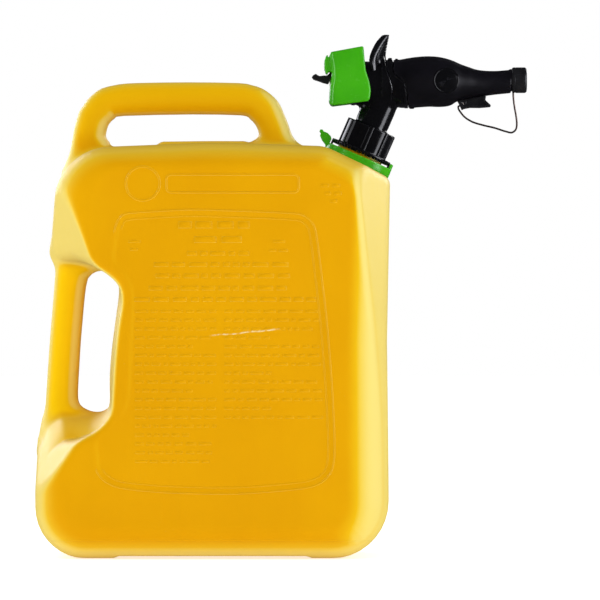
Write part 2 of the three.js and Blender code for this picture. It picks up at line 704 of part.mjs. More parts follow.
const valveSeat = () => sleeveX(10.5, 15.3, 164, 168, 28);
const valveStem = () => rodX(STEM_R, 101.5, 168.5, 20).subtract(rodX(SCREW_R + GAP, 158, 170, 12));
const valveDisc = () => sleeveX(SCREW_R + GAP, 13.2, 168.9, 171.4, 28);
const valveSeal = () => sleeveX(10.8, 13, 168.25, 168.6, 28);
const valveScrew = () => union(rodX(SCREW_R, 160, 172.5, 12), rodX(3.2, 171.8, 174.2, 12));
const stemOring = () => oring(4.3, 0.85, 129.95, 18);
const stemSealRetainer = () => sleeveX(3.6, 7.6, 131.35, 132.5, 20);
const returnSpring = () => wire(new Coil({
  radius: 7.6,
  length: 18,
  turns: 5,
  toPoint: (along, y, z) => [108 + along, y, VALVE_Z + z],
}), 0.6, 50, 4);

// ---------- pour button and its safety latch ----------
const BUTTON_INNER_Y = 19.2;
const BUTTON_OUTER_Y = 22;
const LATCH_PIVOT = [109.5, 420.8]; // x, z
const PIN_R = 1.2;
const LATCH_INNER_Y = 6.2; // inside of the latch arms
const LATCH_OUTER_Y = 8.5;

// side plates of the button: x, z
const BUTTON_SIDE = [
  [100.2, 431.8], [102.5, 434.8], [130.7, 440], [131.6, 429], [132.6, 419.7], [136, 408.2],
  [137.1, 401.5], [136.2, 394.4], [134.3, 392.2], [103, 388.4], [100.2, 392.2],
  [100.7, 404.3], [103, 415.3], [101.9, 423],
];
// latch arms, and the finger tab behind them: x, z
const LATCH_ARM = [
  [94, 409.4], [100.2, 407.4], [102, 411], [104.3, 415.4], [108, 418.3], [111.6, 419.4],
  [111.6, 430.4], [107.5, 430.4], [107.2, 423.2], [103.2, 419.2], [99.8, 415], [94, 414.3],
];
const LATCH_TAB = [
  [97.2, 408.4], [97.2, 414.8], [92.6, 414.2], [89.3, 416.4], [87, 414.6], [86.3, 413.1],
  [87.7, 411.5],
];

const onPivot = (radius, halfWidth) => slab(circle(LATCH_PIVOT, radius, 12), -halfWidth, halfWidth);

function pourButton() {
  const pairs = union(
    slab(BUTTON_SIDE, BUTTON_INNER_Y, BUTTON_OUTER_Y),
    block([99, 104.5], [13, 15], [418, 430.5]), // webs from thumb pad to cross plate
    block([106, 111.4], [3.4, 5.6], [417.2, 423.5]), // pivot ears
  );
  return union(
    bothSides(pairs),
    block([104, 107], [-20.5, 20.5], [390, 432]), // cross plate
    rodX(5.5, 100.5, 105, 20), // stem boss
    block([97, 99.5], [-15, 15], [416.2, 431.8]), // thumb pad
  )
    .subtract(bothSides(block([103, 108], [LATCH_INNER_Y - GAP, 8.9], [403, 426])))
    .subtract(block([103, 108], [-9.2, 9.2], [425.5, 434]))
    .subtract(rodX(STEM_R + GAP, 98, 108, 16))
    .subtract(onPivot(PIN_R + GAP, 7));
}

function safetyLatch() {
  return union(
    bothSides(slab(LATCH_ARM, LATCH_INNER_Y, LATCH_OUTER_Y)),
    slab(LATCH_TAB, -LATCH_OUTER_Y, LATCH_OUTER_Y),
    block([107.5, 111.6], [-LATCH_OUTER_Y, LATCH_OUTER_Y], [427.9, 430.4]), // bridge
    block([111, 119.5], [-5, 5], [427.9, 430.4]), // forward tongue
  ).subtract(onPivot(PIN_R + GAP, 10));
}

const latchPin = () => onPivot(PIN_R, 8.3);
const latchSpring = () => wire(new Coil({
  radius: 1.9,
  length: 4.6,
  turns: 4,
  toPoint: (along, x, z) => [LATCH_PIVOT[0] + x, -2.3 + along, LATCH_PIVOT[1] + z],
}), 0.3, 40, 4);

// ---------- materials ----------
const material = (metalness) => ({ color, roughness }) => (
  new THREE.MeshStandardMaterial({ color, roughness, metalness })
);
const plastic = material(0);
const metal = material(1);
const BLACK = 0x0c0c0e;
const GREEN = 0x3fae10;

const yellowShell = plastic({ color: 0xe6a80c, roughness: 0.42 });
const greenRing = plastic({ color: GREEN, roughness: 0.4 });
const greenButton = plastic({ color: GREEN, roughness: 0.35 });
const guardBlack = plastic({ color: BLACK, roughness: 0.22 });
const glossBlack = plastic({ color: BLACK, roughness: 0.25 });
const satinBlack = plastic({ color: BLACK, roughness: 0.3 });
const carrierBlack = plastic({ color: BLACK, roughness: 0.4 });
const screenBlack = plastic({ color: 0x1a1a1c, roughness: 0.5 });
const tipBlack = plastic({ color: 0x141416, roughness: 0.4 });
const gasketRubber = plastic({ color: 0x202022, roughness: 0.8 });
const oringRubber = plastic({ color: 0x1c1c1e, roughness: 0.7 });
const sealRubber = plastic({ color: 0x1c1c1e, roughness: 0.8 });
const ventWhite = plastic({ color: 0xd8d8d4, roughness: 0.5 });
const stemWhite = plastic({ color: 0xe0e0dc, roughness: 0.45 });
const retainerGrey = plastic({ color: 0xc8c8c4, roughness: 0.5 });
const seatGrey = plastic({ color: 0x8a8a88, roughness: 0.5 });
const darkSteel = metal({ color: 0x4a4440, roughness: 0.35 });
const springSteel = metal({ color: 0xb8b8bc, roughness: 0.3 });
const pinSteel = metal({ color: 0xb0b0b4, roughness: 0.3 });

// ---------- assembly ----------
const can = new THREE.Group();
can.position.x = -MIDDLE;
const neckFrame = new THREE.Group();
neckFrame.position.set(...NECK_BASE);
neckFrame.rotation.y = NECK_TILT;
const valveFrame = new THREE.Group();
can.add(neckFrame, valveFrame);

function place(parent, name, manifold, look) {
  const mesh = new THREE.Mesh(geometryOf(manifold), look);
  mesh.name = name;
  parent.add(mesh);
}

place(can, 'can_shell', canShell(), yellowShell);
place(neckFrame, 'flame_screen', flameScreen(), screenBlack);
place(neckFrame, 'lock_ring', lockRing(), greenRing);
place(neckFrame, 'release_lever', releaseLever(), greenRing);
place(neckFrame, 'screw_collar', screwCollar(), glossBlack);
place(neckFrame, 'neck_gasket', neckGasket(), gasketRubber);
place(neckFrame, 'spout_base', spoutBase(), satinBlack);
place(valveFrame, 'elbow_housing', elbowHousing(), glossBlack);
place(valveFrame, 'finger_guard', fingerGuard(), guardBlack);
place(valveFrame, 'nozzle_lock_ring', nozzleLockRing(), glossBlack);
place(valveFrame, 'nozzle_oring', nozzleOring(), oringRubber);
place(valveFrame, 'nozzle_tube', nozzleTube(), satinBlack);
place(valveFrame, 'nozzle_tip', nozzleTip(), tipBlack);
place(valveFrame, 'filler_hook', fillerHook(), satinBlack);
place(valveFrame, 'wire_spring', wireSpring(), darkSteel);
place(valveFrame, 'vent_tube', ventTube(), ventWhite);
place(valveFrame, 'vent_tube_carrier', ventTubeCarrier(), carrierBlack);
place(valveFrame, 'valve_seat', valveSeat(), seatGrey);
place(valveFrame, 'stem_oring', stemOring(), oringRubber);
place(valveFrame, 'stem_seal_retainer', stemSealRetainer(), retainerGrey);
place(valveFrame, 'return_spring', returnSpring(), springSteel);
place(valveFrame, 'pour_button', pourButton(), greenButton);
place(valveFrame, 'valve_stem', valveStem(), stemWhite);
place(valveFrame, 'valve_disc', valveDisc(), stemWhite);
place(valveFrame, 'valve_seal', valveSeal(), sealRubber);
place(valveFrame, 'valve_screw', valveScrew(), pinSteel);
place(valveFrame, 'safety_latch', safetyLatch(), glossOf());
place(valveFrame, 'latch_pin', latchPin(), pinSteel);
place(valveFrame, 'latch_spring', latchSpring(), springSteel);

function glossOf() {
  return satinBlack;
}

export default can;
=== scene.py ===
"""A yellow plastic can with a carrying handle, a tilted neck and a black pouring nozzle.

The can stands on z = 0. Its front and the nozzle point towards +x, and the near side is -y.
Shapes are given in millimetres, with x from the middle of the can's base and y = 0 on the middle
plane. A side view is a list of (x, z). Meshes are in metres and stand MIDDLE further back in x.
"""

import json
import math
from functools import cached_property

import bpy
import numpy as np
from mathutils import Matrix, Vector


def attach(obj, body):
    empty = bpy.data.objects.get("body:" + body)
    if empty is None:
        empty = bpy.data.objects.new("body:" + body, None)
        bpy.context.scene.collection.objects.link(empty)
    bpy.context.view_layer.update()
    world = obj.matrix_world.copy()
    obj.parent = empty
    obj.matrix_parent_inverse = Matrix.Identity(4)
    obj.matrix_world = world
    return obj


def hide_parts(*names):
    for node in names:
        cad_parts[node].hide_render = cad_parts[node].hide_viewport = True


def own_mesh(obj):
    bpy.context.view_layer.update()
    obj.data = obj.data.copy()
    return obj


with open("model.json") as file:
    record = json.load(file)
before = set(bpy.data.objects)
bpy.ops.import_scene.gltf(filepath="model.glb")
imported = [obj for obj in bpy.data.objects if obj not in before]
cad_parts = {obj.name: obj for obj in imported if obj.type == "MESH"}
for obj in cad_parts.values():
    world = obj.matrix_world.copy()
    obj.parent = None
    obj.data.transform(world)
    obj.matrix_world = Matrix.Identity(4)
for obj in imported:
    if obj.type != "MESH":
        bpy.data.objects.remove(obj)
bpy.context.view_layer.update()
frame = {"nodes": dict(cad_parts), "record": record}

# ---------------------------------------------------------------- driving sizes and frames
MIDDLE = 59.65
TILT = math.radians(23.5)            # of the neck, from upright towards the front
COS_TILT, SIN_TILT = math.cos(TILT), math.sin(TILT)
NECK = (124.2, 0.0, 338.4)           # origin of the neck frame
VALVE_Z = 408.6                      # height of the valve axis, which runs along x
TIP_Z = 411.0                        # height of the nozzle tip's axis
HINGE_X, HINGE_Z = 109.5, 420.8      # latch hinge in the button
HINGE_HOLE_R = 1.5
PEGS_X = (218.5, 230)                # pegs that hold the hook under the nozzle
BARREL_R = 18.6
CHAMBER_R = 15.6
CUFF_BORE_R = 18.95
TURN = 2 * math.pi

CAN_STEP = 2.45
PIECE_STEP_SCALE = 1.0
LATHE_SEGMENTS = 128


def to_world(points):
    moved = np.array(points, float).reshape(-1, 3).copy()
    moved[:, 0] -= MIDDLE
    return moved / 1000.0


def from_neck(points):
    """neck frame (x towards the front, y, height along the neck) to the can's frame"""
    x, y, along = np.array(points, float).reshape(-1, 3).T
    return np.c_[NECK[0] + COS_TILT * x + SIN_TILT * along, y,
                 NECK[2] - SIN_TILT * x + COS_TILT * along]


def into_neck(x, y, z):
    """the can's frame to the neck frame's three coordinates"""
    x, y, z = x - NECK[0], y - NECK[1], z - NECK[2]
    return COS_TILT * x - SIN_TILT * z, y, SIN_TILT * x + COS_TILT * z


# ---------------------------------------------------------------- mesh making
def make(name, points, faces, slot, body, material=None, replaces=None, angle=None):
    """a smooth mesh object riding on a body; an array of quads is turned to face outwards"""
    places = to_world(points)
    mesh = bpy.data.meshes.new(name)
    if isinstance(faces, np.ndarray):
        corner = places[faces].transpose(1, 0, 2)
        volume = sum(np.einsum("ij,ij->i", corner[0], np.cross(corner[i], corner[i + 1])).sum()
                     for i in (1, 2))
        if volume < 0:
            faces = faces[:, ::-1]
        mesh.vertices.add(len(places))
        mesh.vertices.foreach_set("co", places.astype(np.float32).ravel())
        mesh.loops.add(faces.size)
        mesh.loops.foreach_set("vertex_index", faces.astype(np.int32).ravel())
        mesh.polygons.add(len(faces))
        mesh.polygons.foreach_set("loop_start", np.arange(0, faces.size, 4, dtype=np.int32))
        mesh.update(calc_edges=True)
    else:
        mesh.from_pydata([tuple(place) for place in places], [],
                         [tuple(int(i) for i in face) for face in faces])
    mesh.validate()
    mesh.polygons.foreach_set("use_smooth", np.ones(len(mesh.polygons), bool))
    mesh.materials.append(MATERIALS[material or slot])
    made = bpy.data.objects.new(name, mesh)
    bpy.context.scene.collection.objects.link(made)
    if angle is not None:
        sharpen(mesh, angle)
    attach(made, body)
    if replaces:
        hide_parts(replaces)
    return made


def sharpen(mesh, degrees):
    """marks the edges where two faces meet at more than an angle as sharp"""
    count = len(mesh.polygons)
    normals = np.zeros(count * 3)
    mesh.polygons.foreach_get("normal", normals)
    normals = normals.reshape(-1, 3)
    loop_edge = np.zeros(len(mesh.loops), np.int32)
    mesh.loops.foreach_get("edge_index", loop_edge)
    totals = np.zeros(count, np.int32)
    mesh.polygons.foreach_get("loop_total", totals)
    owner = np.repeat(np.arange(count), totals)
    order = np.argsort(loop_edge, kind="stable")
    loop_edge, owner = loop_edge[order], owner[order]
    shared = loop_edge[1:] == loop_edge[:-1]
    cosine = (normals[owner[:-1][shared]] * normals[owner[1:][shared]]).sum(1)
    sharp = np.zeros(len(mesh.edges), bool)
    sharp[loop_edge[1:][shared][cosine < math.cos(math.radians(degrees))]] = True
    mesh.edges.foreach_set("use_edge_sharp", sharp)


def add_attribute(made, name, values):
    attribute = made.data.attributes.new(name, "FLOAT", "POINT")
    attribute.data.foreach_set("value", values.astype(np.float32))


def grid_faces(rows, columns, close_rows=False, flip=False):
    """quads over rows of points, each row closed on itself"""
    row, column = np.meshgrid(np.arange(rows if close_rows else rows - 1), np.arange(columns),
                              indexing="ij")
    row, column = row.ravel(), column.ravel()
    next_row, next_column = (row + 1) % rows, (column + 1) % columns
    faces = np.c_[row * columns + column, row * columns + next_column,
                  next_row * columns + next_column, next_row * columns + column]
    return faces[:, ::-1] if flip else faces


def lathe(profile, segments):
    """a closed profile of (radius, height) turned about the height axis"""
    angle = np.arange(segments) * 2 * math.pi / segments
    radius, height = profile[:, :1], np.repeat(profile[:, 1:2], segments, 1)
    points = np.stack([radius * np.cos(angle), radius * np.sin(angle), height], -1)
    return points.reshape(-1, 3), grid_faces(len(profile), segments, close_rows=True)


def rounded_profile(corners, steps=4):
    """corners (x, z, radius) to a closed outline with rounded corners"""
    outline = []
    for i, (x, z, radius) in enumerate(corners):
        corner = np.array([x, z], float)
        back = np.array(corners[i - 1][:2], float) - corner
        ahead = np.array(corners[(i + 1) % len(corners)][:2], float) - corner
        back_length, ahead_length = np.linalg.norm(back), np.linalg.norm(ahead)
        back, ahead = back / back_length, ahead / ahead_length
        half = math.acos(max(-1, min(1, float(back @ ahead)))) / 2
        if radius <= 0 or half > math.pi / 2 - 1e-3 or half < 1e-3:
            outline.append(corner)
            continue
        reach = min(radius / math.tan(half), min(back_length, ahead_length) * 0.48)
        fitted = reach * math.tan(half)
        middle = back + ahead
        middle = corner + middle / np.linalg.norm(middle) * fitted / math.sin(half)
        first, last = corner + back * reach - middle, corner + ahead * reach - middle
        start = math.atan2(first[1], first[0])
        sweep = math.atan2(last[1], last[0]) - start
        sweep = (sweep + math.pi) % TURN - math.pi
        for k in range(steps + 1):
            angle = start + sweep * k / steps
            outline.append(middle + fitted * np.array([math.cos(angle), math.sin(angle)]))
    return np.array(outline)


def catmull(points, steps=3):
    """a closed smooth curve through the points"""
    points = np.array(points, float)
    before, after, later = (np.roll(points, shift, 0) for shift in (1, -1, -2))
    curve = []
    for i in range(len(points)):
        p0, p1, p2, p3 = before[i], points[i], after[i], later[i]
        for k in range(steps):
            t = k / steps
            curve.append(0.5 * (2 * p1 + (p2 - p0) * t + (2 * p0 - 5 * p1 + 4 * p2 - p3) * t * t
                                + (3 * p1 - p0 - 3 * p2 + p3) * t ** 3))
    return np.array(curve)


def smooth_curve(stations, values):
    """a smooth function through the values at the stations"""
    stations, values = np.array(stations, float), np.array(values, float)
    slopes = np.gradient(values, stations)

    def curve(place):
        i = np.clip(np.searchsorted(stations, place) - 1, 0, len(stations) - 2)
        span = stations[i + 1] - stations[i]
        t = np.clip((place - stations[i]) / span, 0, 1)
        t2, t3 = t * t, t * t * t
        return ((2 * t3 - 3 * t2 + 1) * values[i] + (t3 - 2 * t2 + t) * span * slopes[i]
                + (3 * t2 - 2 * t3) * values[i + 1] + (t3 - t2) * span * slopes[i + 1])
    return curve


# ---------------------------------------------------------------- distance fields, negative inside
def outline_field(x, z, outline):
    """signed distance to a closed side-view outline"""
    squared = np.full(x.shape, 1e18)
    inside = np.zeros(x.shape, bool)
    for (ax, az), (bx, bz) in zip(outline, np.roll(outline, -1, 0)):
        edge_x, edge_z = bx - ax, bz - az
        length = edge_x * edge_x + edge_z * edge_z
        if length < 1e-12:
            continue
        from_x, from_z = x - ax, z - az
        t = np.clip((from_x * edge_x + from_z * edge_z) / length, 0, 1)
        squared = np.minimum(squared, (from_x - edge_x * t) ** 2 + (from_z - edge_z * t) ** 2)
        crossing = ((az <= z) & (bz > z)) | ((bz <= z) & (az > z))
        if abs(edge_z) > 1e-12:
            inside ^= crossing & (x < ax + (z - az) / edge_z * edge_x)
    distance = np.sqrt(squared)
    return np.where(inside, -distance, distance)


def join(one, other, blend):
    """union with a fillet"""
    near = np.maximum(blend - np.abs(one - other), 0) / blend
    return np.minimum(one, other) - near * near * blend * 0.25


def meet(one, other, blend):
    """intersection with a rounded edge"""
    return -join(-one, -other, blend)


def cut(shape, tool, blend=0):
    """the shape without the tool, its new edge rounded when a blend is given"""
    return meet(shape, -tool, blend) if blend else np.maximum(shape, -tool)


def ease(value, start, end):
    t = np.clip((value - start) / (end - start), 0, 1)
    return t * t * (3 - 2 * t)


def window(value, rise, fall):
    """1 between the rise and the fall, 0 outside them"""
    return ease(value, *rise) * ease(-value, -fall[1], -fall[0])


def crease(value, width):
    return np.exp(-(value / width) ** 2)


def creases(value, pitch, width):
    return crease(value % pitch - pitch / 2, width)


def within(value, low, high):
    return np.maximum(value - high, low - value)


def rounded(one, other, edge):
    """intersection of two distances with the edge between them rounded"""
    one, other = one + edge, other + edge
    outside = np.hypot(np.maximum(one, 0), np.maximum(other, 0))
    return outside + np.minimum(np.maximum(one, other), 0) - edge


def extruded(flat, y, half, edge):
    """a flat outline's distance thickened to |y| < half"""
    return rounded(flat, np.abs(y) - half, edge)


def rod(radial, along, radius, start, end, edge=0.0):
    return rounded(radial - radius, np.abs(along - (start + end) / 2) - (end - start) / 2, edge)


def box(x, y, z, low, high, edge=0.0):
    centre = (np.array(low) + np.array(high)) / 2
    half = (np.array(high) - np.array(low)) / 2 - edge
    over_x, over_y, over_z = (np.abs(v - centre[i]) - half[i] for i, v in enumerate((x, y, z)))
    outside = np.sqrt(sum(np.maximum(over, 0) ** 2 for over in (over_x, over_y, over_z)))
    return outside + np.minimum(np.maximum(over_x, np.maximum(over_y, over_z)), 0) - edge


def valve_radius(y, z):
    return np.hypot(y, z - VALVE_Z)


def valve_rod(x, y, z, radius, start, end, edge=0.0, axis_z=VALVE_Z):
    """a rod along x"""
    return rod(np.hypot(y, z - axis_z), x, radius, start, end, edge)


def pin(x, y, z, centre, radius, low, high):
    """an upright pin on the middle plane"""
    return rod(np.hypot(x - centre, y), z, radius, low, high)


def neck_rod(x, y, z, radius, start, end):
    """a rod along the neck"""
    x, y, along = into_neck(x, y, z)
    return rod(np.hypot(x, y), along, radius, start, end)


# ---------------------------------------------------------------- fields to meshes
CELL_CORNERS = [(i, j, k) for i in (0, 1) for j in (0, 1) for k in (0, 1)]


def surface_nets(samples, origin, step):
    """points and quads of the zero surface of a sampled field"""
    shape = samples.shape
    part = {corner: samples[tuple(slice(c, size - 1 + c) for c, size in zip(corner, shape))]
            for corner in CELL_CORNERS}
    count = sum((values < 0).astype(np.int8) for values in part.values())
    active = (count > 0) & (count < 8)
    cells = np.argwhere(active)
    values = {corner: part[corner][active] for corner in CELL_CORNERS}
    total = np.zeros((len(cells), 3))
    hits = np.zeros(len(cells))
    for corner in CELL_CORNERS:
        for axis in range(3):
            if corner[axis]:
                continue
            end = list(corner)
            end[axis] = 1
            here, there = values[corner], values[tuple(end)]
            hit = (here < 0) != (there < 0)
            t = np.where(hit, here / np.where(hit, here - there, 1), 0)
            crossing = np.array(corner, float)[None].repeat(len(cells), 0)
            crossing[:, axis] += t
            total[hit] += crossing[hit]
            hits[hit] += 1
    points = (cells + total / hits[:, None]) * step + np.array(origin)
    index = -np.ones(active.shape, np.int64)
    index[active] = np.arange(len(cells))
    faces = []
    inside = samples < 0
    for axis in range(3):
        u, v = (axis + 1) % 3, (axis + 2) % 3
        low, high = [slice(None)] * 3, [slice(None)] * 3
        low[axis], high[axis] = slice(0, -1), slice(1, None)
        low_inside = inside[tuple(low)]
        edges = np.argwhere(low_inside != inside[tuple(high)])
        keep = ((edges[:, u] > 0) & (edges[:, v] > 0)
                & (edges[:, u] < shape[u] - 1) & (edges[:, v] < shape[v] - 1))
        edges = edges[keep]
        flip = ~low_inside[tuple(edges.T)]
        quad = []
        for du, dv in ((-1, -1), (0, -1), (0, 0), (-1, 0)):
            cell = edges.copy()
            cell[:, u] += du
            cell[:, v] += dv
            quad.append(index[tuple(cell.T)])
        quads = np.stack(quad, 1)
        quads[flip] = quads[flip][:, ::-1]
        faces.append(quads)
    faces = np.concatenate(faces)
    return points, faces[(faces >= 0).all(1)]


def relax(points, faces, field, rounds, probe, limit):
    """evens out the points along the surface and puts them back on it"""
    pull = 0.5         # share of the way to the neighbours' average
    least_slope = 0.05
    edges = np.concatenate([faces[:, [i, (i + 1) % 4]] for i in range(4)])
    start, end = np.concatenate([edges, edges[:, ::-1]]).T
    size = len(points)
    neighbours = np.bincount(start, minlength=size).astype(float)[:, None]
    for i in range(rounds + 1):
        if i < rounds:
            average = np.stack([np.bincount(start, weights=points[end, k], minlength=size)
                                for k in range(3)], 1) / neighbours
            points = points + (average - points) * pull
        for _ in range(2 if i == rounds else 1):
            value = field(*points.T)
            slope = np.stack([(field(*(points + nudge).T) - value) / probe
                              for nudge in np.eye(3) * probe], 1)
            squared = np.maximum((slope * slope).sum(1, keepdims=True), least_slope)
            move = value[:, None] * slope / squared
            length = np.linalg.norm(move, axis=1, keepdims=True)
            points = points - move * np.minimum(1, limit / np.maximum(length, 1e-9))
    return points


def carve(field, low, high, step, rounds, sample=None):
    """meshes a field inside a box; sample may give a quicker way to fill the grid"""
    axes = [a + np.arange(int(math.ceil((b - a) / step)) + 1) * step for a, b in zip(low, high)]
    if sample is not None:
        samples = sample(*axes)
    else:
        grid = np.meshgrid(*axes, indexing="ij")
        samples = field(*(values.ravel() for values in grid)).reshape(grid[0].shape)
    points, faces = surface_nets(samples, low, step)
    return relax(points, faces, field, rounds, probe=step * 0.05, limit=step * 0.5), faces


def piece(name, field, low, high, step, slot, body, replaces, place=None, material=None):
    """an object carved from a field, moved by place when the field is in the neck frame"""
    points, faces = carve(field, low, high, step * PIECE_STEP_SCALE, rounds=2)
    if place is not None:
        points = place(points)
    make(name, points, faces, slot, body, material, replaces, angle=38)


# ---------------------------------------------------------------- materials
class Nodes:
    """a short way to write shader nodes"""

    def __init__(self, tree):
        self.tree = tree

    @cached_property
    def coord(self):
        return self.node("ShaderNodeTexCoord").outputs["Object"]

    def set(self, socket, value):
        if isinstance(value, bpy.types.NodeSocket):
            self.tree.links.new(value, socket)
        else:
            socket.default_value = value

    def fill(self, node, values):
        for name, value in values.items():
            self.set(node.inputs[name], value)

    def node(self, kind, *inputs, **properties):
        node = self.tree.nodes.new(kind)
        for name, value in properties.items():
            setattr(node, name, value)
        for i, value in enumerate(inputs):
            if value is not None:
                self.set(node.inputs[i], value)
        return node

    def noise(self, scale, detail, rough, stretch=None):
        vector = self.coord
        if stretch:
            mapping = self.node("ShaderNodeMapping", vector)
            self.fill(mapping, {"Scale": stretch})
            vector = mapping.outputs[0]
        node = self.node("ShaderNodeTexNoise", vector)
        self.fill(node, {"Scale": scale, "Detail": detail, "Roughness": rough, "Distortion": 0.0})
        return node.outputs["Fac"]

    def cells(self, scale):
        node = self.node("ShaderNodeTexVoronoi", feature="F1")
        self.fill(node, {"Vector": self.coord, "Scale": scale})
        return node.outputs["Distance"]

    def attribute(self, name):
        return self.node("ShaderNodeAttribute", attribute_name=name).outputs["Fac"]

    def math(self, operation, one, other=None):
        return self.node("ShaderNodeMath", one, other, operation=operation).outputs[0]

    def product(self, one, other):
        return self.math("MULTIPLY", one, other)

    def mix(self, share, one, other):
        node = self.node("ShaderNodeMix", share, data_type="RGBA", clamp_factor=True)
        for i, colour in ((6, one), (7, other)):
            self.set(node.inputs[i], (*colour, 1) if isinstance(colour, tuple) else colour)
        return node.outputs[2]

    def remap(self, value, over, to=(0, 1), clamp=True, smooth=False):
        """takes the range over to the range to"""
        node = self.node("ShaderNodeMapRange", value, *over, *to, clamp=clamp)
        if smooth:
            node.interpolation_type = "SMOOTHSTEP"
        return node.outputs[0]

    def bump(self, height, strength, distance, normal=None):
        node = self.node("ShaderNodeBump")
        self.fill(node, {"Strength": strength, "Distance": distance, "Height": height})
        if normal is not None:
            self.fill(node, {"Normal": normal})
        return node.outputs[0]


def material(name):
    made = bpy.data.materials.new(name)
    made.use_nodes = True
    made.node_tree.nodes.clear()
    nodes = Nodes(made.node_tree)
    output = nodes.node("ShaderNodeOutputMaterial")
    shader = nodes.node("ShaderNodeBsdfPrincipled")
    nodes.fill(output, {"Surface": shader.outputs[0]})
    return made, nodes, shader


def long_scratch(nodes, x, y, z):
    """mask of one long, broken scratch low on the near side"""
    along = nodes.remap(x, over=(-0.0613, 0.0), clamp=False)
    noise = nodes.noise(scale=55, detail=3, rough=0.6)
    wave = nodes.product(nodes.math("SUBTRACT", noise, 0.5), 0.0035)
    rise = nodes.remap(along, over=(0, 1), to=(0.1907, 0.1958), clamp=False)
    level = nodes.math("ADD", rise, wave)
    off = nodes.math("ABSOLUTE", nodes.math("SUBTRACT", z, level))
    ends = nodes.product(nodes.remap(along, over=(0.0, 0.12)),
                         nodes.remap(along, over=(0.85, 1.0), to=(1, 0)))
    broken = nodes.remap(nodes.noise(scale=260, detail=3, rough=0.6),
                         over=(0.42, 0.55), to=(0.15, 1))
    line = nodes.remap(off, over=(0.0003, 0.0008), to=(1, 0))
    scratch = nodes.product(line, nodes.product(ends, broken))
    return nodes.product(scratch, nodes.remap(y, over=(-0.08, -0.075), to=(1, 0)))


def painted_sheen_share(nodes, edge):
    """the share of painted sheen at a place: more where it turns from the side view or faces the
    front, less where it faces up, and no front sheen on the raised relief
    """
    geometry = nodes.node("ShaderNodeNewGeometry")
    way = nodes.node("ShaderNodeSeparateXYZ", geometry.outputs["Normal"]).outputs
    front = nodes.remap(way[0], over=(0.04, 0.62), smooth=True)
    sideways = nodes.remap(nodes.math("ABSOLUTE", way[1]), over=(0.1, 0.6))
    front = nodes.product(front, sideways)
    front = nodes.product(front, nodes.remap(nodes.attribute("raised"), (0, 1), to=(0.95, 0)))
    upward = nodes.remap(way[2], over=(0.25, 0.9), to=(0.85, 0.48))
    return nodes.math("MAXIMUM", nodes.product(edge, upward), front)


def yellow_bumps(nodes, x, y, z, fine, scratch):
    normal = nodes.bump(nodes.noise(scale=22, detail=2, rough=0.5), strength=0.22, distance=0.0012)
    normal = nodes.bump(fine, strength=0.20, distance=0.00016, normal=normal)
    # the panel's border: a step at its outer line and another at its inner line
    panel = nodes.attribute("panel_mm")
    steps = nodes.math("ADD", nodes.remap(panel, over=(-1.0, 0.4), smooth=True),
                       nodes.remap(panel, over=(-6.3, -4.9), smooth=True))
    steps = nodes.product(steps, nodes.remap(x, over=(-0.100, -0.085)))
    normal = nodes.bump(steps, strength=1.0, distance=0.0004, normal=normal)
    # the mould's parting line, and the line above the foot
    parting = nodes.remap(nodes.math("ABSOLUTE", y), over=(0.0002, 0.0008), to=(1, 0), smooth=True)
    foot = nodes.math("ABSOLUTE", nodes.math("SUBTRACT", z, 0.0165))
    foot = nodes.remap(foot, over=(0.0004, 0.0016), to=(1, 0), smooth=True)
    lines = nodes.math("ADD", parting, nodes.product(foot, 0.8))
    normal = nodes.bump(lines, strength=0.8, distance=0.0005, normal=normal)
    return nodes.bump(scratch, strength=0.6, distance=0.0004, normal=normal)


def yellow_hdpe():
    """the can's plastic; the thin grip and handle are painted brighter for the light let through
    them, and turned surfaces get a painted pale sheen
    """
    # the two colours of the painted sheen on turned surfaces
    lemon_sheen, pale_sheen = (0.87, 0.57, 0.010), (0.89, 0.73, 0.19)
    made, nodes, shader = material("yellow_hdpe")
    blotch = nodes.noise(scale=9, detail=3, rough=0.5)
    fine = nodes.noise(scale=160, detail=3, rough=0.6)
    flow = nodes.noise(scale=30, detail=4, rough=0.6, stretch=(1, 1, 0.25))
    colour = nodes.mix(nodes.remap(blotch, over=(0.35, 0.65)),
                       (0.765, 0.362, 0.0008), (0.80, 0.392, 0.001))
    colour = nodes.mix(nodes.remap(flow, over=(0.3, 0.7), to=(0, 0.35)),
                       colour, (0.74, 0.34, 0.0008))
    # painted backlight: the thin grip and handle mixed towards a brighter yellow for the light that
    # comes through them
    colour = nodes.mix(nodes.attribute("painted_backlight"), colour, (0.94, 0.59, 0.003))
    # painted sheen: the colour is mixed towards lemon and pale where the surface turns away, in place
    # of the softboxes' reflection
    weight = nodes.node("ShaderNodeLayerWeight")
    nodes.fill(weight, {"Blend": 0.5})
    edge = nodes.remap(weight.outputs["Facing"], over=(0.10, 0.62), smooth=True)
    painted_sheen = painted_sheen_share(nodes, edge)
    colour = nodes.mix(nodes.remap(painted_sheen, over=(0.0, 0.6)), colour, lemon_sheen)
    colour = nodes.mix(nodes.remap(painted_sheen, over=(0.4, 1.0)), colour, pale_sheen)
    specks = nodes.remap(nodes.cells(scale=260), over=(0.02, 0.06), to=(1, 0))
    patches = nodes.remap(nodes.noise(scale=38, detail=2, rough=0.5), over=(0.60, 0.66))
    specks = nodes.product(nodes.product(specks, patches), 0.35)
    colour = nodes.mix(specks, colour, (0.96, 0.8, 0.35))
    x, y, z = nodes.node("ShaderNodeSeparateXYZ", nodes.coord).outputs
    scratch = long_scratch(nodes, x, y, z)
    colour = nodes.mix(nodes.product(scratch, 0.8), colour, (0.95, 0.82, 0.45))
    scuff = nodes.noise(scale=70, detail=5, rough=0.7, stretch=(1.0, 1, 0.12))
    nodes.fill(shader, {
        "Specular IOR Level": nodes.math("ADD", nodes.product(edge, 0.22), 0.03),
        "Base Color": colour,
        "Roughness": nodes.math("ADD", nodes.remap(fine, over=(0.3, 0.7), to=(0.36, 0.43)),
                                nodes.remap(scuff, over=(0.55, 0.75), to=(0, 0.08))),
        "Normal": yellow_bumps(nodes, x, y, z, fine, scratch)})
    return made


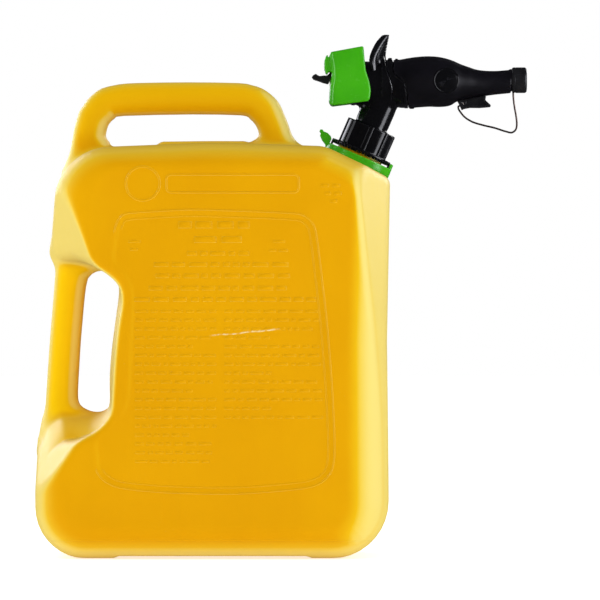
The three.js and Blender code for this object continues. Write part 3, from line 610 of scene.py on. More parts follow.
def plastic(name, base, tint, rough, grain=0.0, grain_scale=900, wear_and_sheen=None, glow=0.0):
    """clouded plastic; sharp edges are lightened, partly as rubbed wear and partly as a painted
    highlight, and glow is the light let through
    """
    made, nodes, shader = material(name)
    cloud = nodes.noise(scale=45, detail=3, rough=0.55)
    colour = nodes.mix(nodes.remap(cloud, over=(0.35, 0.65)), base, tint)
    if wear_and_sheen:
        # sharp edges lightened: partly rubbed wear, partly painted highlight
        geometry = nodes.node("ShaderNodeNewGeometry")
        edge = nodes.remap(geometry.outputs["Pointiness"], over=(0.505, 0.56))
        patches = nodes.remap(nodes.noise(scale=300, detail=4, rough=0.7), over=(0.42, 0.62))
        rubbed_and_sheen = nodes.product(nodes.product(edge, patches), 0.6)
        colour = nodes.mix(rubbed_and_sheen, colour, wear_and_sheen)
    scratch = nodes.noise(scale=240, detail=4, rough=0.7, stretch=(0.2, 1, 1))
    patches = nodes.remap(nodes.noise(scale=120, detail=4, rough=0.6),
                          over=(0.3, 0.7), to=(rough - 0.04, rough + 0.05))
    scratched = nodes.remap(scratch, over=(0.6, 0.8), to=(0, 0.10))
    if glow:
        nodes.fill(shader, {"Subsurface Weight": glow, "Subsurface Radius": (0.3, 1.0, 0.1),
                            "Subsurface Scale": 0.003})
    normal = nodes.bump(nodes.noise(scale=34, detail=2, rough=0.5), strength=0.10, distance=0.0005)
    if grain:
        normal = nodes.bump(nodes.noise(scale=grain_scale, detail=2, rough=0.6),
                            strength=grain, distance=0.0001, normal=normal)
    nodes.fill(shader, {"Base Color": colour, "Normal": normal, "Specular IOR Level": 0.26,
                        "Roughness": nodes.math("ADD", patches, scratched)})
    return made


def metal(name, base, tint, rough, oxide=None):
    """drawn metal with fine streaks, and patches of oxide when its colour is given"""
    made, nodes, shader = material(name)
    streak = nodes.noise(scale=900, detail=3, rough=0.6, stretch=(1, 1, 0.05))
    colour = nodes.mix(nodes.remap(streak, over=(0.35, 0.65)), base, tint)
    if oxide:
        patches = nodes.noise(scale=140, detail=4, rough=0.65)
        colour = nodes.mix(nodes.remap(patches, over=(0.5, 0.7), to=(0, 0.7)), colour, oxide)
    nodes.fill(shader, {
        "Base Color": colour, "Metallic": 1.0,
        "Roughness": nodes.remap(nodes.noise(scale=300, detail=3, rough=0.6),
                                 over=(0.3, 0.7), to=(rough - 0.07, rough + 0.1)),
        "Normal": nodes.bump(streak, strength=0.3, distance=0.00005)})
    return made


PLASTICS = {
    "black_gloss": dict(base=(0.0022, 0.0022, 0.0028), tint=(0.0035, 0.0035, 0.0045), rough=0.17,
                        wear_and_sheen=(0.02, 0.02, 0.025)),
    "black_nozzle": dict(base=(0.0022, 0.0020, 0.0032), tint=(0.0042, 0.0036, 0.0062), rough=0.33,
                         grain=0.2, wear_and_sheen=(0.02, 0.02, 0.025)),
    "black_moulded": dict(base=(0.006, 0.006, 0.0075), tint=(0.011, 0.011, 0.013), rough=0.34,
                          grain=0.35, wear_and_sheen=(0.035, 0.035, 0.04)),
    "green_plastic": dict(base=(0.040, 0.395, 0.0012), tint=(0.052, 0.45, 0.002), rough=0.24,
                          grain=0.12, wear_and_sheen=(0.16, 0.62, 0.06), glow=0.06),
    "black_rubber": dict(base=(0.012, 0.012, 0.012), tint=(0.022, 0.021, 0.02), rough=0.72,
                         grain=0.5, grain_scale=700),
    "natural_plastic": dict(base=(0.62, 0.61, 0.57), tint=(0.70, 0.69, 0.64), rough=0.42,
                            grain=0.15, glow=0.1),
}
METALS = {
    "spring_steel": dict(base=(0.55, 0.55, 0.57), tint=(0.42, 0.42, 0.44), rough=0.28),
    "wire_steel": dict(base=(0.20, 0.15, 0.13), tint=(0.12, 0.09, 0.08), rough=0.45,
                       oxide=(0.10, 0.05, 0.035)),
    "steel": dict(base=(0.60, 0.60, 0.62), tint=(0.5, 0.5, 0.52), rough=0.25),
}
MATERIALS = {"yellow_hdpe": yellow_hdpe()}
MATERIALS.update({name: plastic(name, **look) for name, look in PLASTICS.items()})
MATERIALS.update({name: metal(name, **look) for name, look in METALS.items()})

for part in frame["record"]["subparts"]:
    cad_piece = frame["nodes"][part["node"]]
    cad_piece.data.materials.clear()
    cad_piece.data.materials.append(MATERIALS[part["material_slot"]])

# ---------------------------------------------------------------- the can
# the can's side view, and inside it the line where its sides start to round off: (x, z, radius)
CAN_OUTLINE = rounded_profile([
    (-150.2, 0, 51), (-150.4, 91, 12), (-144.8, 102.5, 14), (-139.6, 262, 34), (-129.2, 350.2, 55),
    (4, 355.4, 600), (97, 352.3, 30), (153.6, 325.4, 9), (150.4, 185, 200), (152.3, 0, 49)], 9)
SIDE_OUTLINE = rounded_profile([
    (-116, 30, 18), (-116, 92, 14), (-103, 258, 14), (-96, 330, 22),
    (88, 331, 14), (118, 317, 10), (112, 185, 30), (112, 30, 16)], 7)
# the hollow behind the rear grip, on the middle plane and at the sides: (x, z)
HOLLOW_MIDDLE = catmull([
    (-172, 254), (-130, 254), (-102.5, 250.6), (-90.4, 245.4), (-82.7, 237.6), (-80.5, 228.2),
    (-83.5, 204.1), (-87, 176.5), (-88.7, 152.4), (-88.7, 131.7), (-93, 125.7), (-102.5, 123.1),
    (-111.1, 123.1), (-130, 123.1), (-172, 123.1)])
HOLLOW_SIDE = catmull([
    (-172, 263.5), (-136.9, 261.7), (-112, 255), (-97, 248), (-86, 241), (-78, 232),
    (-75.8, 219), (-79.2, 196), (-82, 170), (-84, 140), (-86, 124), (-95, 112),
    (-108, 104.5), (-125, 101), (-172, 99.9)])
# the upright rear grip, the top handle and the hole under the handle: (x, z)
GRIP = catmull([
    (-130, 277.2), (-134.7, 254), (-136.9, 228.2), (-138.6, 207.5), (-140.3, 186.8), (-142.1, 161),
    (-143.8, 135.2), (-145.1, 113.7), (-146, 90.4), (-95.6, 90.4), (-102.5, 113.7), (-111.1, 124),
    (-115.4, 130.9), (-116.2, 142.1), (-115, 166.2), (-113.7, 186.8), (-111.9, 207.5),
    (-110.2, 225.6), (-107.6, 239.4), (-101.6, 247.1), (-95.6, 254), (-95.6, 277.2)], 2)
HANDLE = catmull([
    (-127.4, 324.6), (-124.8, 341.8), (-122.3, 352.1), (-119.7, 367.6), (-115.4, 383.1),
    (-111.9, 388.3), (-108.5, 393.5), (-103.3, 398.6), (-95.6, 403.8), (-80.9, 407.3),
    (-64.6, 408.5), (-21.5, 409.1), (22.4, 408.5), (33.6, 406.8), (43.1, 403.8), (50.8, 398.6),
    (56, 393.5), (59.4, 388.3), (61.6, 383.1), (65.8, 372.8), (69.3, 362.5), (74.6, 348.7),
    (81.0, 334.9), (25, 330), (-104.2, 322)], 2)
HANDLE_HOLE = catmull([
    (-90.4, 357.3), (-92.1, 362.5), (-91.3, 367.6), (-89.5, 372.8), (-84.4, 378), (-76.6, 380.1),
    (-18.1, 381.4), (25, 380.6), (31.9, 378), (37, 372.8), (39.6, 367.6), (40.5, 362.5),
    (37.9, 357.3), (33.6, 351.1), (-9.5, 346.7), (-85.2, 347.7)], 2)
# the border of the sunk panel on each side face, and the points that close it at the rear: (x, z)
BORDER = [
    (-85.0608, 252.9488), (-83.8107, 267.9508), (-81.7270, 279.6191), (-78.8100, 287.9536),
    (-74.2260, 292.9543), (-68.3919, 294.6212), (-61.7243, 295.2046), (-38.3878, 296.6214),
    (-14.2178, 297.5382), (18.2867, 296.7048), (51.6246, 295.4546), (71.6274, 294.2878),
    (79.1284, 292.5375), (84.9626, 287.9536), (89.1298, 279.6191), (92.4636, 256.2826),
    (94.5472, 238.7801), (96.6308, 221.2777), (99.1312, 197.1077), (102.9650, 149.6012),
    (104.9653, 109.5957), (105.2153, 94.5936), (104.5486, 82.9254), (102.4650, 75.0076),
    (98.2977, 69.1735), (91.6301, 64.5895), (80.7953, 61.2557), (51.6246, 58.2553),
    (18.2867, 56.2550), (-30.0533, 57.0885), (-61.7243, 59.4221), (-77.5598, 61.5891),
    (-86.7277, 65.0062), (-93.6454, 70.5903), (-97.1458, 76.2578), (-98.3960, 82.0919),
    (-98.8961, 89.5930), (-99.2295, 104.5950)]
PANEL = catmull(BORDER + [
    (-80.0602, 122.9309), (-72.5591, 137.9329), (-70.0588, 187.9398), (-68.3919, 221.2777),
    (-74.2260, 241.2805)], 2)

# slanted flats on both sides: (normal, a point on the flat), with y taken outwards
FRONT_FLAT = ((0.9375, 0.3378, 0.083), (153, 38, 320))
UPPER_REAR_FLAT = ((-0.889, 0.334, -0.312), (-101, 114, 254))
LOWER_REAR_FLAT = ((-0.796, 0.308, 0.521), (-111, 114, 104))

SIDE_HALF = 76.5     # half width where the rounding starts
ROUNDING = 38        # how far the rounding takes the sides out


def flat_field(flat, x, side, z):
    normal, point = flat
    length = math.sqrt(sum(v * v for v in normal))
    return ((x - point[0]) * normal[0] + (side - point[1]) * normal[1]
            + (z - point[2]) * normal[2]) / length


def side_view(x, z):
    """every distance that depends only on the side view"""
    outlines = {"can": CAN_OUTLINE, "side": SIDE_OUTLINE, "hollow_middle": HOLLOW_MIDDLE,
                "hollow_side": HOLLOW_SIDE, "grip": GRIP, "panel": PANEL}
    view = {name: outline_field(x, z, outline) for name, outline in outlines.items()}
    view["handle"] = cut(outline_field(x, z, HANDLE), outline_field(x, z, HANDLE_HOLE), 1.0)
    return view


def crown(view):
    """the side faces' slight swell, less the sunk panel"""
    swell = 3.0 * ease(-view["side"], -2, 70)
    return swell - 1.1 * ease(-view["panel"], 0.2, 5.6)


def rounding(view):
    """the width of the rounding in the side view, and the place across it from 0 to 1"""
    width = np.clip(view["side"] - view["can"], 14, 46)
    return width, np.maximum(1 + view["can"] / width, 0)


def side_y(x, z):
    """half width of the can at a place in the side view"""
    view = side_view(x, z)
    across = rounding(view)[1]
    return SIDE_HALF + crown(view) + ROUNDING * np.sqrt(np.maximum(1 - across * across, 0))


def can_field(x, y, z, view=None):
    side = np.abs(y)
    if view is None:
        view = side_view(x, z)
    width, across = rounding(view)
    over = np.maximum(side - SIDE_HALF - crown(view), 0) / ROUNDING
    shape = width * (np.sqrt(across * across + over * over) - 1)
    shape = meet(shape, flat_field(FRONT_FLAT, x, side, z), 5)
    upper = flat_field(UPPER_REAR_FLAT, x, side, z) - np.maximum(0, 225 - z) * 0.9
    shape = meet(shape, np.where(z > 170, upper, -60), 4.5)
    lower = flat_field(LOWER_REAR_FLAT, x, side, z) - np.maximum(0, z - 124) * 0.9
    shape = meet(shape, np.where(z < 190, lower, -60), 4.5)
    t = np.clip((side / 65) ** 2, 0, 1)
    hollow = view["hollow_middle"] * (1 - t) + view["hollow_side"] * t
    shape = cut(shape, hollow, 7.5)
    lift = 2.4 * window(x, (-84, -78), (81, 87))
    shape = meet(shape, lift - z, 1.5)
    shape = join(shape, extruded(view["grip"], y, half=17, edge=12.5), 13)
    shape = join(shape, box(x, y, z, (-45.6, -26, 330), (30, 26, 356.9), edge=4), 7)
    shape = join(shape, extruded(view["handle"], y, half=15, edge=12.8), 13)
    near_neck = (x > 90) & (z > 300)
    if np.any(near_neck):
        places = np.broadcast_arrays(x, y, z)
        bore = neck_rod(*(v.ravel() for v in places), radius=17.5, start=-14, end=40)
        shape = np.where(near_neck, cut(shape, bore.reshape(places[0].shape), 2.0), shape)
    return shape


def can_samples(xs, ys, zs):
    """the can's field on a grid, each side-view distance and each |y| worked out once"""
    x, z = np.meshgrid(xs, zs, indexing="ij")
    view = {name: values.reshape(x.shape)[:, None, :]
            for name, values in side_view(x.ravel(), z.ravel()).items()}
    x, z = x[:, None, :], z[:, None, :]
    layers = {}
    samples = np.empty((len(xs), len(ys), len(zs)))
    for j, y in enumerate(ys):
        side = round(abs(float(y)), 6)
        if side not in layers:
            layers[side] = can_field(x, np.full(x.shape, side), z, view)[:, 0, :]
        samples[:, j, :] = layers[side]
    return samples


def can_body():
    half = (int(math.ceil(121 / CAN_STEP)) + 0.5) * CAN_STEP
    points, faces = carve(can_field, (-158.13, -half, -4.07), (158, half, 413), CAN_STEP,
                          rounds=3, sample=can_samples)
    points[:, 2] = np.maximum(points[:, 2], 0.0)
    body = make("can_body", points, faces, "yellow_hdpe", "can", replaces="can_shell")
    x, y, z = points.T
    # panel_mm is the distance to the panel's border; the second attribute is how much the grip and
    # handle are painted brighter for light coming through them
    panel = np.where(np.abs(y) > 100, outline_field(x, z, PANEL), 30.0)
    add_attribute(body, "panel_mm", panel)
    rear_grip = (ease(24 - np.abs(y), 0, 6) * ease(-x, 98, 112)
                 * window(z, (100, 125), (245, 262)))
    add_attribute(body, "painted_backlight", np.maximum(0.45 * ease(z, 352, 372), rear_grip))


can_body()


# ---------------------------------------------------------------- neck of the can
def thread(root, tip, start, first_turn):
    """a screw thread, a swept trapezoid that runs out at both ends, in the neck frame"""
    turns, pitch, steps, run_out = 1.25, 5, 40, 0.12
    root_half, tip_half = 2.8 / 2, 1.5 / 2
    count = int(turns * steps)
    points = []
    for i in range(count + 1):
        turn = first_turn + turns * i / count
        angle = TURN * turn
        share = min(1.0, i / (count * run_out), (count - i) / (count * run_out))
        reach = root + (tip - root) * max(share, 0.02)
        height = start + pitch * turn
        for radius, rise in ((root, -root_half), (reach, -tip_half), (reach, tip_half),
                             (root, root_half)):
            points.append((radius * math.cos(angle), radius * math.sin(angle), height + rise))
    last = count * 4
    caps = np.array([[3, 2, 1, 0], [last, last + 1, last + 2, last + 3]])
    return np.array(points), np.concatenate([grid_faces(count + 1, 4), caps])


# (radius, height along the neck, corner radius)
NECK_PROFILE = rounded_profile([
    (15.2, -15, 0), (15.2, 26, 0.9), (17.6, 26, 0.9), (17.6, 10.2, 0.8), (20.3, 10.2, 1.2),
    (20.3, 7.6, 0.5), (19.7, 6.9, 0.5), (19.7, 4.4, 0.5), (20.3, 3.6, 0.5), (20.3, -15, 0)])
points, faces = lathe(NECK_PROFILE, LATHE_SEGMENTS)
make("can_neck", from_neck(points), faces, "yellow_hdpe", "can", angle=50)
points, faces = thread(root=17.2, tip=18.9, start=14.5, first_turn=0.0)
make("can_neck_thread", from_neck(points), faces, "yellow_hdpe", "can", angle=40)

# ---------------------------------------------------------------- spout
# x, height of the nozzle's centre, radius
NOZZLE = np.array([
    [140, 408.6, 20.0], [149, 408.5, 20.1], [156.7, 408.2, 20.2], [162.7, 408, 20.9],
    [168.8, 408.3, 21.7], [175.6, 409.1, 21.9], [188.6, 409.9, 21.8], [195.4, 409.9, 21.3],
    [201.5, 410, 20], [208.4, 409.7, 18.1], [214.4, 409.2, 15.9], [221.3, 408.6, 14],
    [228.2, 408.1, 12.2], [235.1, 408.2, 11.1], [243, 408.6, 10.4], [258.3, 409.9, 10.1],
    [270, 411, 10.0]])
nozzle_z = smooth_curve(NOZZLE[:, 0], NOZZLE[:, 1])
nozzle_radius = smooth_curve(NOZZLE[:, 0], NOZZLE[:, 2])
# x at heights z: the seam between ring and nozzle, and the front lip of the guard's cuff
seam_x = smooth_curve([378, 388.6, 400.4, 410.3, 414.2, 427.4, 440],
                      [170.5, 169.5, 167.5, 164.3, 159, 156.4, 156.4])
cuff_x = smooth_curve([378, 397, 404, 410, 418, 429, 440],
                      [154, 155.4, 155.6, 154, 151.2, 149.2, 149.2])
# the guard's bowed shield: z, x at its middle, x at its side edges, half width
SHIELD = np.array([
    [405, 146.2, 140.8, 17.5], [418, 147.2, 140.5, 16.5], [430, 148.9, 138.6, 15],
    [438, 150.7, 141.4, 11.5], [445, 152.1, 145.6, 7.5], [450.3, 153.2, 150.4, 3.6]])
shield_front, shield_rear, shield_half = (smooth_curve(SHIELD[:, 0], SHIELD[:, i])
                                          for i in (1, 2, 3))
GUSSET = np.array([(136.8, 424), (138.2, 427.8), (144.6, 433.3), (149.5, 439), (150.5, 424)])


def nozzle_skin(x, y, z):
    return np.hypot(y, z - nozzle_z(x)) - nozzle_radius(x)


def riser(x, y, z, grow=0.0):
    """the tube that rises from the neck to the valve"""
    x, y, along = into_neck(x, y, z)
    lower = rod(np.hypot(x, y), along, 14.3 + grow, 30.9 - grow, 36, edge=0.3)
    upper = rod(np.hypot(x + 1.05, y), along, 14.35 + grow, 35.2, 70, edge=0.3)
    return join(lower, upper, 0.8)


def elbow(x, y, z):
    """valve barrel and the riser that stands in the neck"""
    along = into_neck(x, y, z)[2]
    barrel = valve_rod(x, y, z, BARREL_R, 120, 157, edge=0.9)
    nose = valve_rod(x, y, z, 17.2, 150, 168, edge=0.7)
    tube_shape = riser(x, y, z)
    shape = join(join(barrel, nose, 0.8), tube_shape, 7.0)
    shape = np.where(along < 36.5, np.minimum(shape, tube_shape), shape)
    shape = np.minimum(shape, neck_rod(x, y, z, 12.4, 18, 32))
    # a low moulding ridge along the riser and round the barrel's rear rim
    shape = shape - 0.35 * crease(y, 0.8) * window(along, (37, 39), (52, 58))
    shape = shape - 0.55 * window(x, (119, 120.2), (122.6, 123.6))
    # front and rear chambers, the hole between them, the groove on the nose and the riser's bore
    shape = cut(shape, valve_rod(x, y, z, CHAMBER_R, 131, 170, edge=0.4), 0.5)
    shape = cut(shape, valve_rod(x, y, z, CHAMBER_R, 110, 127, edge=0.4), 0.5)
    shape = cut(shape, valve_rod(x, y, z, 3.4, 124, 134), 0.4)
    groove = np.maximum(np.abs(x - 164.4) - 1.6, 16.2 - valve_radius(y, z))
    shape = cut(shape, groove, 0.4)
    return cut(shape, neck_rod(x, y, z, 10.5, 15, 72), 0.5)


piece("elbow", elbow, (116, -20, 352), (170, 20, 430), 0.95, "black_gloss", "spout",
      "elbow_housing")


def guard(x, y, z):
    """a cuff round the barrel with an upright bowed shield"""
    radial = valve_radius(y, z)
    lip = cuff_x(z)
    cuff = meet(within(radial, CUFF_BORE_R, 20.35), within(x, 146.2, lip), 0.8)
    bead = np.hypot(radial - 20.2, x - (lip - 0.75)) - 0.72
    cuff = join(cuff, bead, 0.5)
    half = shield_half(z)
    sag = shield_front(z) - shield_rear(z)
    across = y / half
    bow = shield_front(z) - sag * across * across
    slope = 2 * sag * np.abs(across) / half
    depth = (x - bow + 1.1) / np.sqrt(1 + slope * slope)
    ribs = (0.34 * (0.5 + 0.5 * np.cos(2 * math.pi * z / 2.5)) * ease(z, 433.5, 435)
            * (depth > 0) * ease(half - np.abs(y), 0.6, 1.6))
    plate = meet(np.abs(depth) - 1.0 - ribs, np.maximum(np.abs(y) - half, z - 450.3), 1.3)
    rim = np.maximum(np.hypot(depth, np.abs(y) - half + 1.0) - 1.25, z - 449.5)
    plate = np.maximum(join(plate, rim, 0.8), 417 - z)
    gusset = extruded(outline_field(x, z, GUSSET), y, half=1.5, edge=0.5)
    shape = join(join(cuff, plate, 3.0), gusset, 1.6)
    shape = meet(shape, CUFF_BORE_R - radial, 0.4)
    return cut(shape, riser(x, y, z, grow=0.4))


piece("finger_guard_skin", guard, (134, -22, 385), (160, 22, 453), 0.62, "black_gloss", "spout",
      "finger_guard")


def nozzle_ring(x, y, z):
    """the ring between the guard's cuff and the nozzle"""
    snap = box(x, y, z, (151.6, -4, 427), (155.6, 4, 430.2), edge=0.9)
    shape = join(nozzle_skin(x, y, z), snap, 0.7)
    shape = shape + 0.35 * crease(x - (seam_x(z) - 4.2), 0.45)
    shape = meet(shape, x - (seam_x(z) - 0.15), 1.0)
    shape = meet(shape, (cuff_x(z) + 0.5) - x, 0.8)
    shape = meet(shape, 18.9 - valve_radius(y, z), 0.4)
    return cut(shape, riser(x, y, z, grow=0.4))


piece("nozzle_ring_skin", nozzle_ring, (146, -23, 384), (173, 23, 433), 0.62, "black_gloss",
      "spout", "nozzle_lock_ring")


def nozzle(x, y, z):
    shape = nozzle_skin(x, y, z)
    # a shallow bulge underneath, then a small block under and one on top
    bulge = np.sqrt(((x - 199) / 9) ** 2 + (y / 6) ** 2 + ((z - 391.2) / 3.2) ** 2)
    shape = join(shape, (bulge - 1) * 3.0, 2.5)
    shape = join(shape, box(x, y, z, (170.8, -4.5, 386.2), (174.6, 4.5, 391), edge=0.8), 0.8)
    shape = join(shape, box(x, y, z, (158.0, -4, 426.5), (160.6, 4, 429.6), edge=0.8), 0.7)
    shape = meet(shape, (seam_x(z) + 0.15) - x, 1.1)
    shape = meet(shape, x - 258.3, 0.8)
    # the spigot that carries the tip
    shape = join(shape, valve_rod(x, y, z, 9.6, 257, 268, edge=0.4, axis_z=TIP_Z), 0.6)
    bore = np.hypot(y, z - nozzle_z(x)) - (nozzle_radius(x) - 2.2)
    shape = cut(shape, np.maximum(bore, x - 257), 0.4)
    shape = cut(shape, valve_rod(x, y, z, 7.4, 250, 280, axis_z=TIP_Z), 0.3)
    shape = cut(shape, valve_rod(x, y, z, BARREL_R + 0.35, 140, 157.6), 0.3)
    shape = cut(shape, riser(x, y, z, grow=0.4))
    for peg_x in PEGS_X:
        shape = cut(shape, pin(x, y, z, peg_x, 1.8, 388, 402))
    return cut(shape, pin(x, y, z, 260.3, 1.5, 396, 405))


piece("nozzle_skin", nozzle, (153, -23.5, 383), (270, 23.5, 434), 0.85, "black_gloss", "spout",
      "nozzle_tube", material="black_nozzle")


def plug(name, side):
    """a round plug with a raised rim, moulded on the nozzle's cheek"""
    # distance from the plug's centre, height over the nozzle
    rings = [(0, 0.30), (4, 0.28), (8, 0.2), (9.3, 0.1), (9.75, 0.06), (10.05, 0.42),
             (10.4, 0.52), (10.8, 0.42), (11.1, 0.02), (11.35, -0.6)]
    sides = 96
    points = []
    for distance, height in rings:
        for j in range(sides):
            angle = 2 * math.pi * j / sides
            x = 202 + max(distance, 0.01) * math.cos(angle)
            z = 410.2 + max(distance, 0.01) * math.sin(angle)
            station = np.array([x])
            centre, radius = float(nozzle_z(station)[0]), float(nozzle_radius(station)[0])
            y = math.sqrt(max(radius * radius - (z - centre) ** 2, 1)) + height
            points.append((x, side * y, z))
    faces = [tuple(quad) for quad in grid_faces(len(rings), sides, flip=side > 0)]
    faces.append(tuple(range(sides))[::side])
    make(name, points, faces, "black_gloss", "spout", angle=60)


plug("nozzle_plug_near", -1)
plug("nozzle_plug_far", 1)


def tip(x, y, z):
    shape = valve_rod(x, y, z, 11.1, 258.9, 272.1, edge=2.2, axis_z=TIP_Z)
    shape = shape + 0.22 * crease(x - 262.2, 0.35)
    shape = cut(shape, valve_rod(x, y, z, 9.9, 250, 270.2, axis_z=TIP_Z), 0.3)
    shape = cut(shape, valve_rod(x, y, z, 7.0, 250, 280, axis_z=TIP_Z), 0.6)
    return cut(shape, pin(x, y, z, 260.7, 1.8, 396, 405))


piece("nozzle_tip_skin", tip, (256.5, -13, 398), (274, 13, 424), 0.5, "black_moulded", "spout",
      "nozzle_tip")

# side views of the small pieces below: (x, z, corner radius)
HOOK = rounded_profile([
    (212.2, 392.6, 1), (212.2, 398, 0), (236.8, 401, 0), (236.8, 397, 1), (236.3, 393.7, 1.2),
    (241, 389.3, 0.8), (240.6, 387.7, 0.8), (231.6, 386.9, 3), (223, 387, 3), (217.8, 386, 2),
    (215.8, 384.9, 0.6), (214.8, 387.5, 1)], 3)


def hook(x, y, z):
    """the hook under the nozzle, hollowed on both cheeks and held by pegs"""
    flat = outline_field(x, z, HOOK)
    shape = extruded(flat, y, half=5, edge=0.7)
    recess = extruded(flat + 1.9, y, half=9, edge=0.0)
    shape = cut(shape, np.where(np.abs(y) > 3.7, recess, 9))
    shape = np.maximum(shape, 0.35 - nozzle_skin(x, y, z))
    for peg_x in PEGS_X:
        shape = join(shape, pin(x, y, z, peg_x, 1.5, 391, 398.4), 0.4)
    return cut(shape, box(x, y, z, (215.9, -4.2, 389.9), (217.7, 7, 391.7)))


piece("filler_hook_skin", hook, (210, -6.5, 383), (243, 6.5, 400), 0.45, "black_moulded", "spout",
      "filler_hook")

# ---------------------------------------------------------------- button and latch
BUTTON = rounded_profile([
    (100.2, 431.8, 2.5), (102.5, 434.8, 2.2), (130.7, 440, 1.6), (131.6, 429, 20),
    (132.6, 419.7, 22), (136, 408.2, 18), (137.1, 401.5, 10), (136.2, 394.4, 2.4),
    (134.3, 392.2, 2.2), (103, 388.4, 3.4), (100.2, 392.2, 3.4), (101.0, 404.3, 20),
    (102.6, 415.3, 16), (101.7, 423, 16)], 5)
BUTTON_PAD = rounded_profile([
    (100, 432.4, 0.5), (98.6, 432, 1), (97.0, 427, 3), (97.0, 421, 3), (98.2, 416.4, 0.8),
    (100, 416.2, 0.5)], 3)
# x of the button's rear face at heights z
button_rear = smooth_curve([386, 392.2, 404.3, 415.3, 423, 431.8, 442],
                           [100.2, 100.2, 101.0, 102.3, 101.7, 100.2, 101.5])
BUTTON_HALF, BUTTON_CORNER = 22, 6.5


def hinge_hole(x, z):
    return np.hypot(x - HINGE_X, z - HINGE_Z) - HINGE_HOLE_R


def button(x, y, z):
    side = np.abs(y)
    plan = rounded(button_rear(z) - x, side - BUTTON_HALF, BUTTON_CORNER)
    shape = meet(outline_field(x, z, BUTTON), plan, 2.6)
    # hollow inside, and open at the top
    shape = cut(shape, box(x, y, z, (107, -19.25, 380), (150, 19.25, 450)), 0.8)
    shape = cut(shape, box(x, y, z, (90, -17.6, 432), (150, 17.6, 460), edge=1.5), 1.2)
    shape = join(shape, valve_rod(x, y, z, 5.5, 102.4, 109, edge=0.5), 0.8)
    pad = extruded(outline_field(x, z, BUTTON_PAD), y, half=15, edge=1.0)
    cheek = box(x, side, z, (98, 12.8, 418), (104.5, 15, 430.5), edge=0.5)
    shape = join(join(shape, pad, 0.5), cheek, 0.8)
    lug = box(x, side, z, (105, 3.4, 417.2), (111.4, 5.6, 423.5), edge=0.6)
    shape = join(shape, lug, 0.5)
    # slots for the latch's arms and its bridge
    shape = cut(shape, box(x, side, z, (99.9, 5.9, 403), (108, 8.9, 426)))
    shape = cut(shape, box(x, side, z, (99.9, -1, 425.5), (108, 9.2, 434)))
    shape = cut(shape, valve_rod(x, y, z, 3.3, 95, 112))
    shape = cut(shape, np.where(side < 7, hinge_hole(x, z), 9))
    return shape - 0.28 * creases(z - 424, pitch=2.6, width=0.5) * (x < 97.6) * (side < 12)


piece("pour_button_skin", button, (94, -24, 385), (140, 24, 443), 0.62, "green_plastic", "button",
      "pour_button")

LATCH_ARM = rounded_profile([
    (94, 409.4, 1), (100.2, 407.4, 1), (102, 411, 3), (104.3, 415.4, 3), (108, 418.3, 3),
    (111.6, 419.4, 2), (111.6, 430.4, 1), (107.5, 430.4, 1), (107.2, 423.2, 1.5),
    (103.2, 419.2, 2), (99.8, 415, 3), (94, 414.3, 1)], 3)
LATCH_TAB = rounded_profile([
    (97.2, 408.4, 0.4), (97.2, 414.8, 0.4), (92.6, 414.2, 3), (89.3, 416.4, 1), (87, 414.6, 1),
    (86.3, 413.1, 0.6), (87.7, 411.5, 1.5)], 3)


def latch(x, y, z):
    """two arms joined by a ribbed tab at the rear and a bridge with a nose at the top"""
    arm = extruded(outline_field(x, z, LATCH_ARM), np.abs(y) - 7.35, half=1.15, edge=0.4)
    tab = extruded(outline_field(x, z, LATCH_TAB), y, half=8.5, edge=0.6)
    tab = tab - 0.2 * creases(x - 0.6 * z, pitch=2.2, width=0.4) * (x < 94)
    bridge = box(x, y, z, (107.5, -8.5, 427.9), (111.6, 8.5, 430.4), edge=0.5)
    nose = box(x, y, z, (110, -5, 427.9), (119.5, 5, 430.4), edge=0.7)
    shape = join(join(join(arm, tab, 0.8), bridge, 0.6), nose, 0.8)
    return cut(shape, hinge_hole(x, z))


piece("safety_latch_skin", latch, (84.5, -10, 405), (121, 10, 432.5), 0.5, "black_moulded",
      "latch", "safety_latch")


# ---------------------------------------------------------------- collar, ring, lever (neck frame)
def sector(x, y, count, phase=0.0):
    """folds the plane into one of several equal sectors: (outwards, sideways)"""
    step = TURN / count
    angle = (np.arctan2(y, x) - phase + step / 2) % step - step / 2
    radial = np.hypot(x, y)
    return radial * np.cos(angle), radial * np.sin(angle)


def block(outwards, sideways, along, ends, half_width, middle, half_height):
    """a sharp block between two distances from the axis"""
    return np.maximum(np.maximum(np.abs(sideways) - half_width, np.abs(along - middle) - half_height),
                      within(outwards, *ends))


def collar(x, y, along):
    radial = np.hypot(x, y)
    shape = rod(radial, along, 20.7, 11.5, 34.7, edge=1.0)
    outwards, sideways = sector(x, y, 8)
    rib = block(outwards, sideways, along, (10, 22.2), 1.6, 23.6, 11.1)
    shape = join(shape, meet(rib, outwards - 22.2, 0.8), 1.1)
    # the flange with a fine comb, coarser teeth and two lugs underneath
    shape = join(shape, rod(radial, along, 27.2, 10.9, 12.9, edge=0.5), 1.0)
    comb = block(*sector(x, y, 48, math.pi / 48), along, (24.4, 27.1), 0.78, 10.5, 0.95)
    shape = join(shape, comb, 0.3)
    teeth = box(*sector(x, y, 12, math.pi / 12), along, (22.5, -1.4, 9.4), (24.5, 1.4, 11.6),
                edge=0.2)
    shape = join(shape, teeth, 0.3)
    lug = block(radial, y, along, (25.5, 27.2), 3, 9.2, 2.2)
    shape = join(shape, lug, 0.3)
    shape = cut(shape, rod(radial, along, 19.25, 0, 31), 0.4)
    return cut(shape, rod(radial, along, 15.0, 0, 60), 0.5)


piece("screw_collar_skin", collar, (-28.6, -28.6, 5.8), (28.6, 28.6, 36.2), 0.58, "black_gloss",
      "collar", "screw_collar", place=from_neck)
points, faces = thread(root=19.6, tip=17.95, start=12.0, first_turn=0.1)
make("screw_collar_thread", from_neck(points), faces, "black_gloss", "collar", angle=40)

RING_INNER_R, RING_OUTER_R = 27.9, 30.2


